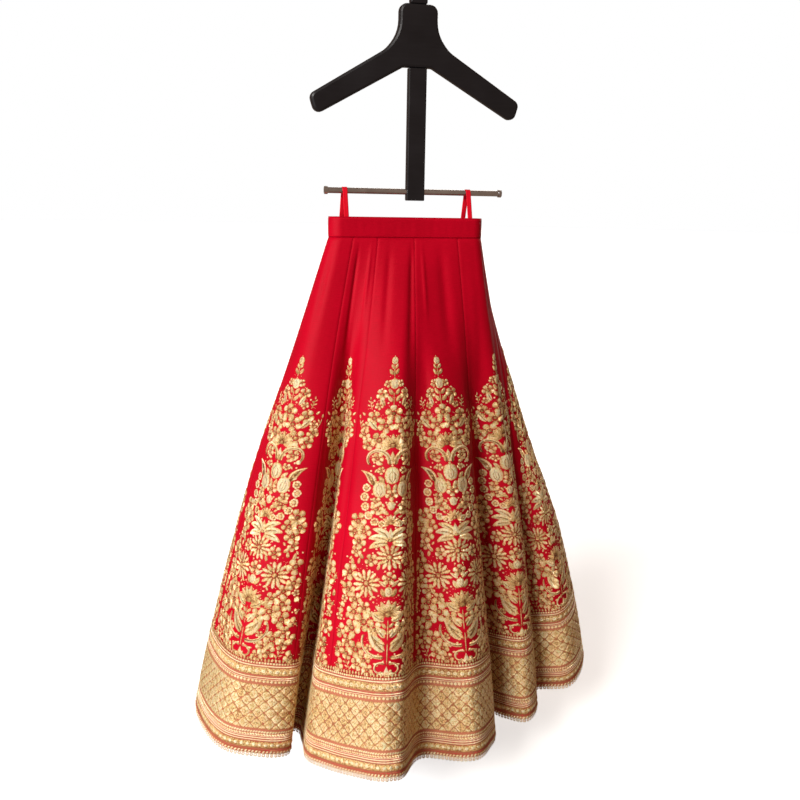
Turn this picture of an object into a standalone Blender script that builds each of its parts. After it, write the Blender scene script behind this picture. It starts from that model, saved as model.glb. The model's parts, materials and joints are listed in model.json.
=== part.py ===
"""A red bridal lehenga skirt that hangs by its two ribbon loops from a black hanger.

Metres, +Z up, and the front faces -Y. The origin is where a rail carries the hook:
the top of the hook's inside. The skirt is twelve tapered panels, called kalis, joined
edge to edge under a waistband. A stiff border lies round the hem and a narrow lace
hangs from its edge.

Round the skirt, a place is given by its kali: 0 is the seam at the wearer's right side
(the -X side), 0.5 the middle of the first kali, and 12 is the first seam again. Down the
skirt a place is given by its fall: 0 at the waist seam and 1 at the hem.
"""

import math

import bmesh
import bpy
from mathutils import Vector

# ---- driving dimensions -------------------------------------------------------------

KALI_COUNT = 12
KALI_LENGTH = 1.066
CLOTH_WALL = 0.002
SEAM_GAP = 0.0003

WAIST_HALF_WIDTH = 0.1635
WAIST_HALF_DEPTH = 0.0230
WAIST_DROP = 0.575
SKIRT_SHIFT = -0.017
WAISTBAND_HEIGHT = 0.042
WAISTBAND_WALL = 0.0026
WAISTBAND_FOOT = 0.0008

BORDER_HEIGHT = 0.192
BORDER_WALL = 0.0010
LACE_HEIGHT = 0.009
LACE_WALL = 0.0018

FOLD_RISE = 0.35
FOLD_BLUR = 0.30

# One row for each line where the hem turns, from the -X side round by the front.
# kali: where on the cloth the line lies. waist: its share of the waist's girth.
# across, forward: where it meets the hem, from the waist's centre.
# belly: how much sooner than a straight line it swings out on its way down.
# starts: the fall at which its fold begins to rise out of the smooth cloth above.
HEM_TURNS = (
    # name,          kali,  waist,  across, forward, belly, starts
    ("side_left",    0.00, -0.012, -0.443,  0.032,  0.28,  0.10),
    ("lobe_a_bend",  0.48,  0.021, -0.408, -0.099,  0.25,  0.10),
    ("lobe_a",       0.80,  0.067, -0.334, -0.143,  0.25,  0.10),
    ("lobe_a_edge",  1.10,  0.090, -0.263, -0.129,  0.24,  0.10),
    ("fold_ab_in",   1.38,  0.108, -0.260, -0.052, -0.30,  0.08),
    ("fold_ab",      1.45,  0.113, -0.247, -0.037, -0.35,  0.08),
    ("fold_ab_out",  1.52,  0.118, -0.235, -0.054, -0.30,  0.08),
    ("lobe_c_left",  1.94,  0.150, -0.226, -0.195,  0.20,  0.08),
    ("lobe_c",       2.60,  0.236, -0.106, -0.334,  0.22,  0.10),
    ("valley_cd",    3.12,  0.274, -0.011, -0.215,  0.05,  0.12),
    ("lobe_d",       3.50,  0.300,  0.084, -0.272,  0.20,  0.12),
    ("lobe_d_flank", 3.82,  0.366,  0.160, -0.190,  0.22,  0.10),
    ("fold_de",      4.24,  0.440,  0.205, -0.062, -0.35,  0.10),
    ("lobe_e",       4.48,  0.478,  0.262, -0.120,  0.34,  0.22),
    ("lobe_e_edge",  4.70,  0.495,  0.308, -0.078,  0.36,  0.28),
    ("valley_ef",    5.02,  0.516,  0.336,  0.004,  0.30,  0.34),
    ("lobe_f",       5.42,  0.540,  0.414, -0.034,  0.40,  0.36),
    ("side_right",   5.98,  0.584,  0.490,  0.068,  0.46,  0.34),
    ("lobe_g",       6.50,  0.626,  0.439,  0.163,  0.40,  0.26),
    ("fold_gh",      6.88,  0.651,  0.348,  0.133, -0.10,  0.16),
    ("lobe_h",       7.38,  0.684,  0.302,  0.245,  0.25,  0.14),
    ("valley_hi",    7.82,  0.713,  0.207,  0.196,  0.10,  0.12),
    ("lobe_i",       8.40,  0.751,  0.122,  0.317,  0.25,  0.10),
    ("valley_ij",    8.86,  0.782,  0.040,  0.238,  0.05,  0.12),
    ("lobe_j",       9.34,  0.813, -0.044,  0.329,  0.25,  0.12),
    ("fold_jk",      9.86,  0.847, -0.133,  0.220, -0.20,  0.10),
    ("lobe_k",      10.34,  0.879, -0.220,  0.293,  0.25,  0.12),
    ("valley_kl",   10.78,  0.908, -0.287,  0.201,  0.10,  0.14),
    ("lobe_l",      11.20,  0.935, -0.365,  0.205,  0.30,  0.16),
    ("fold_la",     11.50,  0.955, -0.384,  0.122,  0.10,  0.18),
    ("lobe_l_end",  11.72,  0.970, -0.433,  0.112,  0.30,  0.16),
)
KALI, WAIST, ACROSS, FORWARD, BELLY, STARTS = 1, 2, 3, 4, 5, 6

COLUMNS_PER_KALI = 10
COLUMN_TURN_WEIGHT = 0.06
COLUMN_FALLS = (0.05, 0.4, 1.0)
FALLS_ABOVE_BORDER = (0.0, 0.06, 0.13, 0.21, 0.30, 0.40, 0.52, 0.66)
BORDER_ROWS = 2
WAISTBAND_COLUMNS = 56

# The hanger, measured from its middle line and from the waist seam.
HANGER_THICKNESS = 0.020
HANGER_EDGE_ROUND = 0.005
NECK_HALF_WIDTH = 0.040
NECK_TOP = 0.460
NECK_FOOT = 0.404
NECK_CORNER = 0.016
SHOULDER_OUT = 0.066
SHOULDER_TOP = 0.372
ARM_END_OUT = 0.222
ARM_END_TOP = 0.278
ARM_END_HEIGHT = 0.040
ARMPIT_TOP = 0.338
ARMPIT_HALF = 0.030
POST_WIDTH = 0.038
POST_THICKNESS = 0.016
POST_FOOT = 0.076
BAR_RADIUS = 0.006
BAR_HALF_LENGTH = 0.190
BAR_HEIGHT = 0.094
BAR_STOP_RADIUS = 0.008
BAR_STOP_LENGTH = 0.006
LOOP_ACROSS = 0.132
LOOP_WIDTH = 0.010
LOOP_WALL = 0.0010
LOOP_TUCK = 0.022
LOOP_STAND = 0.002
COLLAR_WIDTH = 0.036
COLLAR_THICKNESS = 0.016
COLLAR_HEIGHT = 0.016
HOOK_WIRE = 0.0022
HOOK_INSIDE = 0.021
HOOK_BEND = 0.012
HOOK_BEND_PULL = 0.048
HOOK_JOIN_ANGLE = -38.0
HOOK_TIP_ANGLE = 205.0

COLLECTION_NAME = "lehenga_skirt_on_hanger"


# ---- the draped surface -------------------------------------------------------------

def turn_value(index, field):
    """A field of the turn with this index, counting on round the hem without an end."""
    lap, row = divmod(index, len(HEM_TURNS))
    per_lap = {KALI: KALI_COUNT, WAIST: 1.0}.get(field, 0.0)
    return HEM_TURNS[row][field] + lap * per_lap


def between_turns(kali, field):
    """A field read smoothly between the turns either side of a kali."""
    kali = kali % KALI_COUNT
    index = sum(1 for row in HEM_TURNS if row[KALI] <= kali) - 1
    k0, k1, k2, k3 = (turn_value(index + step, KALI) for step in (-1, 0, 1, 2))
    v0, v1, v2, v3 = (turn_value(index + step, field) for step in (-1, 0, 1, 2))
    width = k2 - k1
    u = (kali - k1) / width
    slope_1 = (v2 - v0) / (k2 - k0) * width
    slope_2 = (v3 - v1) / (k3 - k1) * width
    return ((2 * u - 3) * u * u + 1) * v1 + ((u - 2) * u + 1) * u * slope_1 \
        + (3 - 2 * u) * u * u * v2 + (u - 1) * u * u * slope_2


def waist_point(share):
    """The point of the waist seam at this share of its girth, from the -X end.

    The waist hangs nearly flat: two straight runs joined by two half circles.
    """
    radius = WAIST_HALF_DEPTH
    centre = WAIST_HALF_WIDTH - radius
    straight = 2 * centre
    bend = math.pi * radius
    walk = (share % 1.0) * 2 * (straight + bend) - bend / 2
    if walk < 0:
        angle = walk / radius
        return Vector((-centre + radius * math.sin(angle), -radius * math.cos(angle)))
    if walk < straight:
        return Vector((walk - centre, -radius))
    walk -= straight
    if walk < bend:
        angle = walk / radius
        return Vector((centre + radius * math.sin(angle), -radius * math.cos(angle)))
    walk -= bend
    if walk < straight:
        return Vector((centre - walk, radius))
    angle = (walk - straight) / radius
    return Vector((-centre - radius * math.sin(angle), radius * math.cos(angle)))


def swing(kali, fall):
    """How far the cloth has swung out from its own waist point at this fall."""
    hem = Vector((between_turns(kali, ACROSS), between_turns(kali, FORWARD)))
    reach = hem - waist_point(between_turns(kali, WAIST))
    belly = between_turns(kali, BELLY)
    return reach * (fall * (1 + belly) - belly * fall * fall)


def fold_blur(kali, fall):
    """1 where the folds have melted away near the waist, 0 where they stand fully."""
    u = min(max((fall - between_turns(kali, STARTS)) / FOLD_RISE, 0.0), 1.0)
    return 1 - u * u * (3 - 2 * u)


def drape_point(kali, fall):
    """The middle of the cloth, in the skirt's own frame: waist seam centre at zero."""
    waist = waist_point(between_turns(kali, WAIST))
    hem = Vector((between_turns(kali, ACROSS), between_turns(kali, FORWARD)))
    out = swing(kali, fall)
    blur = fold_blur(kali, fall)
    if blur > 0:
        near = swing(kali - FOLD_BLUR, fall) + swing(kali + FOLD_BLUR, fall)
        far = swing(kali - 2 * FOLD_BLUR, fall) + swing(kali + 2 * FOLD_BLUR, fall)
        out = out.lerp((3 * out + 2 * near + far) / 9, blur)
    drop = math.sqrt(KALI_LENGTH ** 2 - (hem - waist).length_squared)
    return Vector((waist.x + out.x, waist.y + out.y, -drop * fall))


def drape_frame(kali, fall, step=0.004):
    """Point, unit direction round the skirt and unit direction outwards."""
    round_way = drape_point(kali + step, fall) - drape_point(kali - step, fall)
    down_way = drape_point(kali, fall + step) - drape_point(kali, fall - step)
    return drape_point(kali, fall), round_way.normalized(), down_way.cross(round_way).normalized()


def place(point):
    """From the skirt's own frame to the part's."""
    return point + Vector((SKIRT_SHIFT, 0.0, -WAIST_DROP))


def columns_of(kali, count):
    """Columns across one kali, closer together where the hem turns sharply."""
    samples = 120
    weight = [0.0] * (samples + 1)
    for fall in COLUMN_FALLS:
        points = [drape_point(kali + i / samples, fall) for i in range(-1, samples + 1)]
        total = 0.0
        for i, (a, b, c) in enumerate(zip(points, points[1:], points[2:])):
            total += (c - b).length + COLUMN_TURN_WEIGHT * (b - a).angle(c - b)
            weight[i + 1] += total
    columns = []
    for column in range(count + 1):
        target = weight[samples] * column / count
        index = next(i for i in range(samples) if weight[i + 1] >= target or i == samples - 1)
        part = (target - weight[index]) / (weight[index + 1] - weight[index])
        columns.append(kali + (index + min(part, 1.0)) / samples)
    return columns


# ---- helpers ------------------------------------------------------------------------

def clear_scene():
    for old in list(bpy.data.objects):
        bpy.data.objects.remove(old, do_unlink=True)


def new_collection(name, hidden=False):
    group = bpy.data.collections.new(name)
    bpy.context.scene.collection.children.link(group)
    group.hide_render = hidden
    return group


def make_material(name, colour, roughness, metallic=0.0):
    material = bpy.data.materials.new(name)
    material.use_nodes = True
    shader = material.node_tree.nodes["Principled BSDF"]
    shader.inputs["Base Color"].default_value = (*colour, 1.0)
    shader.inputs["Roughness"].default_value = roughness
    shader.inputs["Metallic"].default_value = metallic
    return material


def add_object(name, mesh, group, material):
    thing = bpy.data.objects.new(name, mesh)
    group.objects.link(thing)
    mesh.materials.append(material)
    return thing


def add_cloth_wall(name, inside, outside, group, material):
    """A closed wall lofted between two grids of points, each a list of rows."""
    shape = bmesh.new()
    near = [[shape.verts.new(point) for point in row] for row in inside]
    far = [[shape.verts.new(point) for point in row] for row in outside]
    rows, columns = len(near), len(near[0])

    def patch(a, b, c, d):
        shape.faces.new((a, b, c))
        shape.faces.new((a, c, d))

    for r in range(rows - 1):
        for c in range(columns - 1):
            patch(far[r][c], far[r + 1][c], far[r + 1][c + 1], far[r][c + 1])
            patch(near[r][c], near[r][c + 1], near[r + 1][c + 1], near[r + 1][c])
    for r in range(rows - 1):
        patch(far[r][0], near[r][0], near[r + 1][0], far[r + 1][0])
        patch(far[r][-1], far[r + 1][-1], near[r + 1][-1], near[r][-1])
    for c in range(columns - 1):
        patch(far[0][c], far[0][c + 1], near[0][c + 1], near[0][c])
        patch(near[-1][c], near[-1][c + 1], far[-1][c + 1], far[-1][c])
    bmesh.ops.recalc_face_normals(shape, faces=shape.faces)
    mesh = bpy.data.meshes.new(name)
    shape.to_mesh(mesh)
    shape.free()
    mesh.shade_smooth()
    mesh.set_sharp_from_angle(angle=math.radians(40))
    return add_object(name, mesh, group, material)


def cloth_strip(name, columns, falls, inner, outer, group, material):
    """A wall that lies along the drape between two distances from the cloth's middle."""
    grids = ([], [])
    for fall in falls:
        for grid in grids:
            grid.append([])
        for kali in columns:
            point, round_way, outwards = drape_frame(kali, fall)
            if kali == columns[0]:
                point = point + round_way * SEAM_GAP / 2
            if kali == columns[-1]:
                point = point - round_way * SEAM_GAP / 2
            for grid, distance in zip(grids, (inner, outer)):
                grid[-1].append(place(point + outwards * distance))
    return add_cloth_wall(name, grids[0], grids[1], group, material)


def mesh_from_curve(name, curve_object, group, material):
    """The curve's own solid as a mesh with its caps welded on."""
    graph = bpy.context.evaluated_depsgraph_get()
    mesh = bpy.data.meshes.new_from_object(curve_object.evaluated_get(graph))
    shape = bmesh.new()
    shape.from_mesh(mesh)
    bmesh.ops.remove_doubles(shape, verts=shape.verts, dist=0.00002)
    bmesh.ops.recalc_face_normals(shape, faces=shape.faces)
    shape.to_mesh(mesh)
    shape.free()
    mesh.materials.clear()
    solid = add_object(name, mesh, group, material)
    solid.matrix_world = curve_object.matrix_world
    bpy.data.objects.remove(curve_object, do_unlink=True)
    return solid


def round_corner(before, corner, after, radius, steps=5):
    """The points of an arc that rounds one corner of a flat outline."""
    to_before = (before - corner).normalized()
    to_after = (after - corner).normalized()
    half = to_before.angle(to_after) / 2
    reach = radius / math.tan(half)
    centre = corner + (to_before + to_after).normalized() * radius / math.sin(half)
    start = corner + to_before * reach - centre
    end = corner + to_after * reach - centre
    turn = start.angle(end)
    points = []
    for step in range(steps + 1):
        u = step / steps
        spoke = (start * math.sin((1 - u) * turn) + end * math.sin(u * turn)) / math.sin(turn)
        points.append(centre + spoke)
    return points


# ---- the skirt ----------------------------------------------------------------------

def add_skirt_panels(group, red_silk, gold_border):
    """Twelve kalis, each with its own length of border laid on its foot."""
    border_top = 1 - BORDER_HEIGHT / KALI_LENGTH
    border_falls = [border_top + (1 - border_top) * row / BORDER_ROWS for row in range(BORDER_ROWS + 1)]
    falls = list(FALLS_ABOVE_BORDER) + border_falls
    half_wall = CLOTH_WALL / 2
    border_inner = half_wall + SEAM_GAP
    for index in range(KALI_COUNT):
        letter = "abcdefghijkl"[index]
        columns = columns_of(index, COLUMNS_PER_KALI)
        cloth_strip(f"kali_{letter}", columns, falls, -half_wall, half_wall, group, red_silk)
        cloth_strip(f"border_{letter}", columns, border_falls, border_inner,
                    border_inner + BORDER_WALL, group, gold_border)


def add_hem_lace(group, pale_lace):
    """One length of lace under the hem; its two ends meet at the first seam."""
    columns = []
    for index in range(KALI_COUNT):
        columns += columns_of(index, COLUMNS_PER_KALI)[:-1]
    columns.append(float(KALI_COUNT))
    top = 1 + SEAM_GAP / KALI_LENGTH
    falls = (top, top + LACE_HEIGHT / KALI_LENGTH)
    cloth_strip("hem_lace", columns, falls, -LACE_WALL / 2, LACE_WALL / 2, group, pale_lace)


def add_waistband(group, red_silk):
    """A straight band round the flat oval waist; its ends meet over the first seam."""
    inner, outer = [], []
    start = between_turns(0, WAIST)
    for height in (WAISTBAND_HEIGHT, WAISTBAND_FOOT):
        inner.append([])
        outer.append([])
        for column in range(WAISTBAND_COLUMNS + 1):
            share = start + column / WAISTBAND_COLUMNS
            point = waist_point(share)
            along = (waist_point(share + 0.001) - waist_point(share - 0.001)).normalized()
            if column == 0:
                point = point + along * SEAM_GAP / 2
            if column == WAISTBAND_COLUMNS:
                point = point - along * SEAM_GAP / 2
            outwards = Vector((along.y, -along.x))
            for rows, distance in ((inner, -WAISTBAND_WALL / 2), (outer, WAISTBAND_WALL / 2)):
                flat = point + outwards * distance
                rows[-1].append(place(Vector((flat.x, flat.y, height))))
    add_cloth_wall("waistband", inner, outer, group, red_silk)


def add_hanging_loop(name, across, group, ribbon):
    """A ribbon over the bar whose two legs are sewn inside the waistband."""
    over = BAR_RADIUS + SEAM_GAP + LOOP_WALL
    leg = WAIST_HALF_DEPTH - WAISTBAND_WALL / 2 - SEAM_GAP
    foot = WAISTBAND_HEIGHT - LOOP_TUCK
    route = [Vector((-leg, foot)), Vector((-leg, WAISTBAND_HEIGHT + LOOP_STAND))]
    lean = math.asin(min((leg - over) / (BAR_HEIGHT - WAISTBAND_HEIGHT), 0.9))
    steps = 12
    for step in range(steps + 1):
        angle = math.pi - lean - (math.pi - 2 * lean) * step / steps
        route.append(Vector((over * math.cos(angle), BAR_HEIGHT + over * math.sin(angle))))
    route += [Vector((leg, WAISTBAND_HEIGHT + LOOP_STAND)), Vector((leg, foot))]
    inner, outer = [], []
    for index, point in enumerate(route):
        before = route[max(index - 1, 0)]
        after = route[min(index + 1, len(route) - 1)]
        along = (after - before).normalized()
        inwards = Vector((along.y, -along.x)) * LOOP_WALL
        for rows, flat in ((outer, point), (inner, point + inwards)):
            edges = (across - LOOP_WIDTH / 2, across + LOOP_WIDTH / 2)
            rows.append([place(Vector((edge, flat.x, flat.y))) for edge in edges])
    add_cloth_wall(name, inner, outer, group, ribbon)


# ---- the hanger ---------------------------------------------------------------------

def hanger_outline():
    """The hanger board's outline, right half and then its mirror image."""
    def v(across, height):
        return Vector((across, height - WAIST_DROP))

    corners = (
        # point, corner radius
        (v(NECK_HALF_WIDTH, NECK_TOP), NECK_CORNER),
        (v(NECK_HALF_WIDTH, NECK_FOOT), 0.070),
        (v(SHOULDER_OUT, SHOULDER_TOP), 0.060),
        (v(ARM_END_OUT, ARM_END_TOP), 0.014),
        (v(ARM_END_OUT - 0.012, ARM_END_TOP - ARM_END_HEIGHT), 0.014),
        (v(ARMPIT_HALF, ARMPIT_TOP), 0.010),
    )
    half = []
    points = [Vector((0.0, corners[0][0].y))] + [corner for corner, _ in corners]
    points.append(Vector((0.0, corners[-1][0].y)))
    for index, (corner, radius) in enumerate(corners):
        half += round_corner(points[index], corner, points[index + 2], radius)
    mirrored = [Vector((-point.x, point.y)) for point in reversed(half)]
    return half + mirrored


def add_hanger_body(group, black):
    """The neck and both arms, cut from one board with rounded edges."""
    curve = bpy.data.curves.new("hanger_outline", "CURVE")
    curve.dimensions = "2D"
    curve.fill_mode = "BOTH"
    curve.extrude = HANGER_THICKNESS / 2 - HANGER_EDGE_ROUND
    curve.bevel_depth = HANGER_EDGE_ROUND
    curve.bevel_resolution = 1
    curve.offset = -HANGER_EDGE_ROUND
    outline = hanger_outline()
    spline = curve.splines.new("POLY")
    spline.points.add(len(outline) - 1)
    for spot, point in zip(spline.points, outline):
        spot.co = (point.x, point.y, 0.0, 1.0)
    spline.use_cyclic_u = True
    board = bpy.data.objects.new("hanger_outline", curve)
    group.objects.link(board)
    board.rotation_euler = (math.radians(90), 0.0, 0.0)
    bpy.context.view_layer.update()
    mesh_from_curve("hanger_body", board, group, black)


def add_box(name, size, centre, bevel, group, material):
    mesh = bpy.data.meshes.new(name)
    shape = bmesh.new()
    bmesh.ops.create_cube(shape, size=1.0)
    bmesh.ops.scale(shape, vec=Vector(size), verts=shape.verts)
    shape.to_mesh(mesh)
    shape.free()
    box = add_object(name, mesh, group, material)
    box.location = centre
    rounding = box.modifiers.new("rounded_edges", "BEVEL")
    rounding.width = bevel
    rounding.segments = 2
    return box


def add_post(group, cutters, black):
    """The centre post, from under the neck down round the bar."""
    top = ARMPIT_TOP - SEAM_GAP
    middle = (top + POST_FOOT) / 2 - WAIST_DROP
    post = add_box("hanger_post", (POST_WIDTH, POST_THICKNESS, top - POST_FOOT),
                   (0.0, 0.0, middle), 0.002, group, black)
    bore = bpy.data.meshes.new("bar_bore")
    shape = bmesh.new()
    bmesh.ops.create_cone(shape, cap_ends=True, segments=24, radius1=BAR_RADIUS + SEAM_GAP,
                          radius2=BAR_RADIUS + SEAM_GAP, depth=POST_WIDTH * 2)
    shape.to_mesh(bore)
    shape.free()
    cutter = bpy.data.objects.new("bar_bore", bore)
    cutters.objects.link(cutter)
    cutter.location = (0.0, 0.0, BAR_HEIGHT - WAIST_DROP)
    cutter.rotation_euler = (0.0, math.radians(90), 0.0)
    cutter.hide_render = True
    cutter.display_type = "WIRE"
    cut = post.modifiers.new("bar_bore", "BOOLEAN")
    cut.operation = "DIFFERENCE"
    cut.object = cutter


def add_bar(group, steel):
    """The lower bar that carries the ribbon loops, with a stop at each end."""
    stop = BAR_HALF_LENGTH - BAR_STOP_LENGTH
    profile = (
        # along, radius
        (-BAR_HALF_LENGTH, 0.0),
        (-BAR_HALF_LENGTH, BAR_STOP_RADIUS),
        (-stop, BAR_STOP_RADIUS),
        (-stop, BAR_RADIUS),
        (stop, BAR_RADIUS),
        (stop, BAR_STOP_RADIUS),
        (BAR_HALF_LENGTH, BAR_STOP_RADIUS),
        (BAR_HALF_LENGTH, 0.0),
    )
    mesh = bpy.data.meshes.new("lower_bar")
    shape = bmesh.new()
    spots = [shape.verts.new((radius, 0.0, -along)) for along, radius in profile]
    for a, b in zip(spots, spots[1:]):
        shape.edges.new((a, b))
    shape.to_mesh(mesh)
    shape.free()
    bar = add_object("lower_bar", mesh, group, steel)
    turned = bar.modifiers.new("turned", "SCREW")
    turned.steps = 24
    turned.render_steps = 24
    turned.use_merge_vertices = True
    turned.merge_threshold = 0.00001
    turned.use_smooth_shade = False
    bar.location = (0.0, 0.0, BAR_HEIGHT - WAIST_DROP)
    bar.rotation_euler = (0.0, math.radians(90), 0.0)


def add_collar(group, black):
    """The short square collar that stands on the neck and takes the hook's stem."""
    foot = NECK_TOP - WAIST_DROP + SEAM_GAP
    add_box("hook_collar", (COLLAR_WIDTH, COLLAR_THICKNESS, COLLAR_HEIGHT),
            (0.0, 0.0, foot + COLLAR_HEIGHT / 2), 0.003, group, black)


def add_hook(group, steel):
    """A round wire hook: a stem on the middle line, an easy bend and an open ring."""
    ring = HOOK_INSIDE + HOOK_WIRE
    centre = Vector((0.0, -HOOK_INSIDE))
    stem_foot = NECK_TOP - WAIST_DROP + COLLAR_HEIGHT + 2 * SEAM_GAP
    neck = centre.y - ring - HOOK_BEND
    route = [Vector((0.0, stem_foot + (neck - stem_foot) * step / 4)) for step in range(5)]
    stem_top = route[-1]
    join = math.radians(HOOK_JOIN_ANGLE)
    bend_end = centre + Vector((math.cos(join), math.sin(join))) * ring
    way_in = Vector((0.0, HOOK_BEND_PULL))
    way_out = Vector((-math.sin(join), math.cos(join))) * HOOK_BEND_PULL
    for step in range(1, 10):
        u = step / 10
        leaving = stem_top + way_in * u
        arriving = bend_end - way_out * (1 - u)
        route.append(leaving.lerp(arriving, u * u * (3 - 2 * u)))
    arc_steps = 30
    for step in range(arc_steps + 1):
        angle = join + (math.radians(HOOK_TIP_ANGLE) - join) * step / arc_steps
        route.append(centre + Vector((math.cos(angle), math.sin(angle))) * ring)
    curve = bpy.data.curves.new("hook", "CURVE")
    curve.dimensions = "3D"
    curve.bevel_depth = HOOK_WIRE
    curve.bevel_resolution = 2
    curve.use_fill_caps = True
    spline = curve.splines.new("POLY")
    spline.points.add(len(route) - 1)
    for spot, point in zip(spline.points, route):
        spot.co = (point.x, 0.0, point.y, 1.0)
    wire = bpy.data.objects.new("hook_wire", curve)
    group.objects.link(wire)
    bpy.context.view_layer.update()
    mesh_from_curve("hook", wire, group, steel)


def build():
    clear_scene()
    parts = new_collection(COLLECTION_NAME)
    cutters = new_collection("cutters", hidden=True)
    red_silk = make_material("red_silk", (0.62, 0.008, 0.016), 0.55)
    gold_border = make_material("gold_zari_border", (0.62, 0.42, 0.16), 0.42, 0.6)
    pale_lace = make_material("pale_gold_lace", (0.75, 0.56, 0.38), 0.6, 0.3)
    red_ribbon = make_material("red_ribbon", (0.55, 0.01, 0.02), 0.45)
    black = make_material("black_lacquer", (0.012, 0.011, 0.012), 0.35)
    steel = make_material("hook_steel", (0.62, 0.62, 0.64), 0.25, 1.0)
    add_skirt_panels(parts, red_silk, gold_border)
    add_hem_lace(parts, pale_lace)
    add_waistband(parts, red_silk)
    add_hanging_loop("hanging_loop_left", -LOOP_ACROSS, parts, red_ribbon)
    add_hanging_loop("hanging_loop_right", LOOP_ACROSS, parts, red_ribbon)
    add_hanger_body(parts, black)
    add_post(parts, cutters, black)
    add_bar(parts, steel)
    add_collar(parts, black)
    add_hook(parts, steel)


build()
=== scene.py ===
"""Looks of a red bridal lehenga skirt that hangs by two ribbon loops from a black hanger.

Metres, +Z up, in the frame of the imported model: the origin is the top of the hook's inside
and the front faces -Y. Round the skirt a place is given by its kali, from 0 at the seam on
the wearer's right (-X) through 6 at the left to 12; down it by its fall, 0 at the waist seam
and 1 at the hem. The silk, the border and every stitched motif lie on one drape.
"""

import json
import math
from pathlib import Path

import bpy
import numpy as np
from mathutils import Vector
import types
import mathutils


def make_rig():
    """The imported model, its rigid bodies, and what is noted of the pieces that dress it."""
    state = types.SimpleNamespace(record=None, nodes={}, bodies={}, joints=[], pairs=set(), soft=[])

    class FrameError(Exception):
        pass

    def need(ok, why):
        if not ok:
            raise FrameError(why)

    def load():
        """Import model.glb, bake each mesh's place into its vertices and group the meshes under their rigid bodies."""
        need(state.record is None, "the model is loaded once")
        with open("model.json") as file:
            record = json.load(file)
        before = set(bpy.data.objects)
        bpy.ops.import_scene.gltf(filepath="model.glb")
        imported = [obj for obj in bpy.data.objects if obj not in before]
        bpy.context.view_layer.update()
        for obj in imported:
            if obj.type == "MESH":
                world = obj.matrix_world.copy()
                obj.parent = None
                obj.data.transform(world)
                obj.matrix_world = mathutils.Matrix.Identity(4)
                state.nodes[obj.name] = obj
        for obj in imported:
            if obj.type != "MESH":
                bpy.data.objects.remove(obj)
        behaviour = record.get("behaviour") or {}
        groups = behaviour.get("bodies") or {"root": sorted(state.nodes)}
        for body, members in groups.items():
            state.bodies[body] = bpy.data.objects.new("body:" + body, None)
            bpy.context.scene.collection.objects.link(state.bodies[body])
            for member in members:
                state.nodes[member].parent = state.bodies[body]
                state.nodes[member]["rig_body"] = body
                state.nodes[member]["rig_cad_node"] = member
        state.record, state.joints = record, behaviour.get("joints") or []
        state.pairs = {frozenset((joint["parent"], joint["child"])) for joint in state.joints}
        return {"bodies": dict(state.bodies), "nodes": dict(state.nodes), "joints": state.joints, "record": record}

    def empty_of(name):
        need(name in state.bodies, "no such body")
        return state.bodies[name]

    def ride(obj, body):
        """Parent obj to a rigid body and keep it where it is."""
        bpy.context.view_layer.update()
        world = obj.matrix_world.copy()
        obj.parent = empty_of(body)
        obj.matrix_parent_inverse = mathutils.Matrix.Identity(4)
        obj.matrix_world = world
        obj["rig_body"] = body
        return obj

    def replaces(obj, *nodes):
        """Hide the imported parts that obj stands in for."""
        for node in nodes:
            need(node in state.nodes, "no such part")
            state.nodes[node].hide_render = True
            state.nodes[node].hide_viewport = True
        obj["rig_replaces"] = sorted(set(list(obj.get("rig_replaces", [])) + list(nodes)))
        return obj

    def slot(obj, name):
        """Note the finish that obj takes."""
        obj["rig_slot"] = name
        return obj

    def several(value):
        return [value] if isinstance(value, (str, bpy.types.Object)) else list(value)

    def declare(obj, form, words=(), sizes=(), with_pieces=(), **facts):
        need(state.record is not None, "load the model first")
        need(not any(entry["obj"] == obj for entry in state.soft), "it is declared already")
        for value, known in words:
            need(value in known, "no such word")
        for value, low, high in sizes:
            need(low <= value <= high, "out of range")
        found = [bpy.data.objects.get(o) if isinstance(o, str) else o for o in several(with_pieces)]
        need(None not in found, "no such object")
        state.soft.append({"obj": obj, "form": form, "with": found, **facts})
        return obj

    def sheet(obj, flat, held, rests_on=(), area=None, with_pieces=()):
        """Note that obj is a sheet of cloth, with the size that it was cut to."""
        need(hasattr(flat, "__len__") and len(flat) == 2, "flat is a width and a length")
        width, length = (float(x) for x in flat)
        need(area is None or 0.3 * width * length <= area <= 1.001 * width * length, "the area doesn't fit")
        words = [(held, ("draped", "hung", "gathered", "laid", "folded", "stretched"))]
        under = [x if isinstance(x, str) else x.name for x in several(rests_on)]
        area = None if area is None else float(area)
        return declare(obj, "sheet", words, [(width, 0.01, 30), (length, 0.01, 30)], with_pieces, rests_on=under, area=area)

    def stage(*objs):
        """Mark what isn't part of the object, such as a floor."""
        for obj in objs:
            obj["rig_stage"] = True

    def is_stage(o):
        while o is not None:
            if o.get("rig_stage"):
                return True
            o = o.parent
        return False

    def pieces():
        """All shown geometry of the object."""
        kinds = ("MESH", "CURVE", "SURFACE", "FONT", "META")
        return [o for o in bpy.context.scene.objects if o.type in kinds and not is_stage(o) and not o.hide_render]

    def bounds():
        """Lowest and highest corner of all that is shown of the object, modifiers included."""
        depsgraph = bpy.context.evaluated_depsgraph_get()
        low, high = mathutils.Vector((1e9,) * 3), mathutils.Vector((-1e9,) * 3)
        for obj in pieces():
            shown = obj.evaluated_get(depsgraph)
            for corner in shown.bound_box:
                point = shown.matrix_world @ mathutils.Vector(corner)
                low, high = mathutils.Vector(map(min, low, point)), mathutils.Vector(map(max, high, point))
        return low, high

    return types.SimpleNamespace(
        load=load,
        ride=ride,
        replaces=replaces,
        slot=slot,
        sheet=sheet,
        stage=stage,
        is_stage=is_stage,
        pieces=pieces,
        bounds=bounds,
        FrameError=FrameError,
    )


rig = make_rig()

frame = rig.load()
cad_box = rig.bounds()

SEED = 41
MM = 0.001


# ---- the cut and the drape ----

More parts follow.
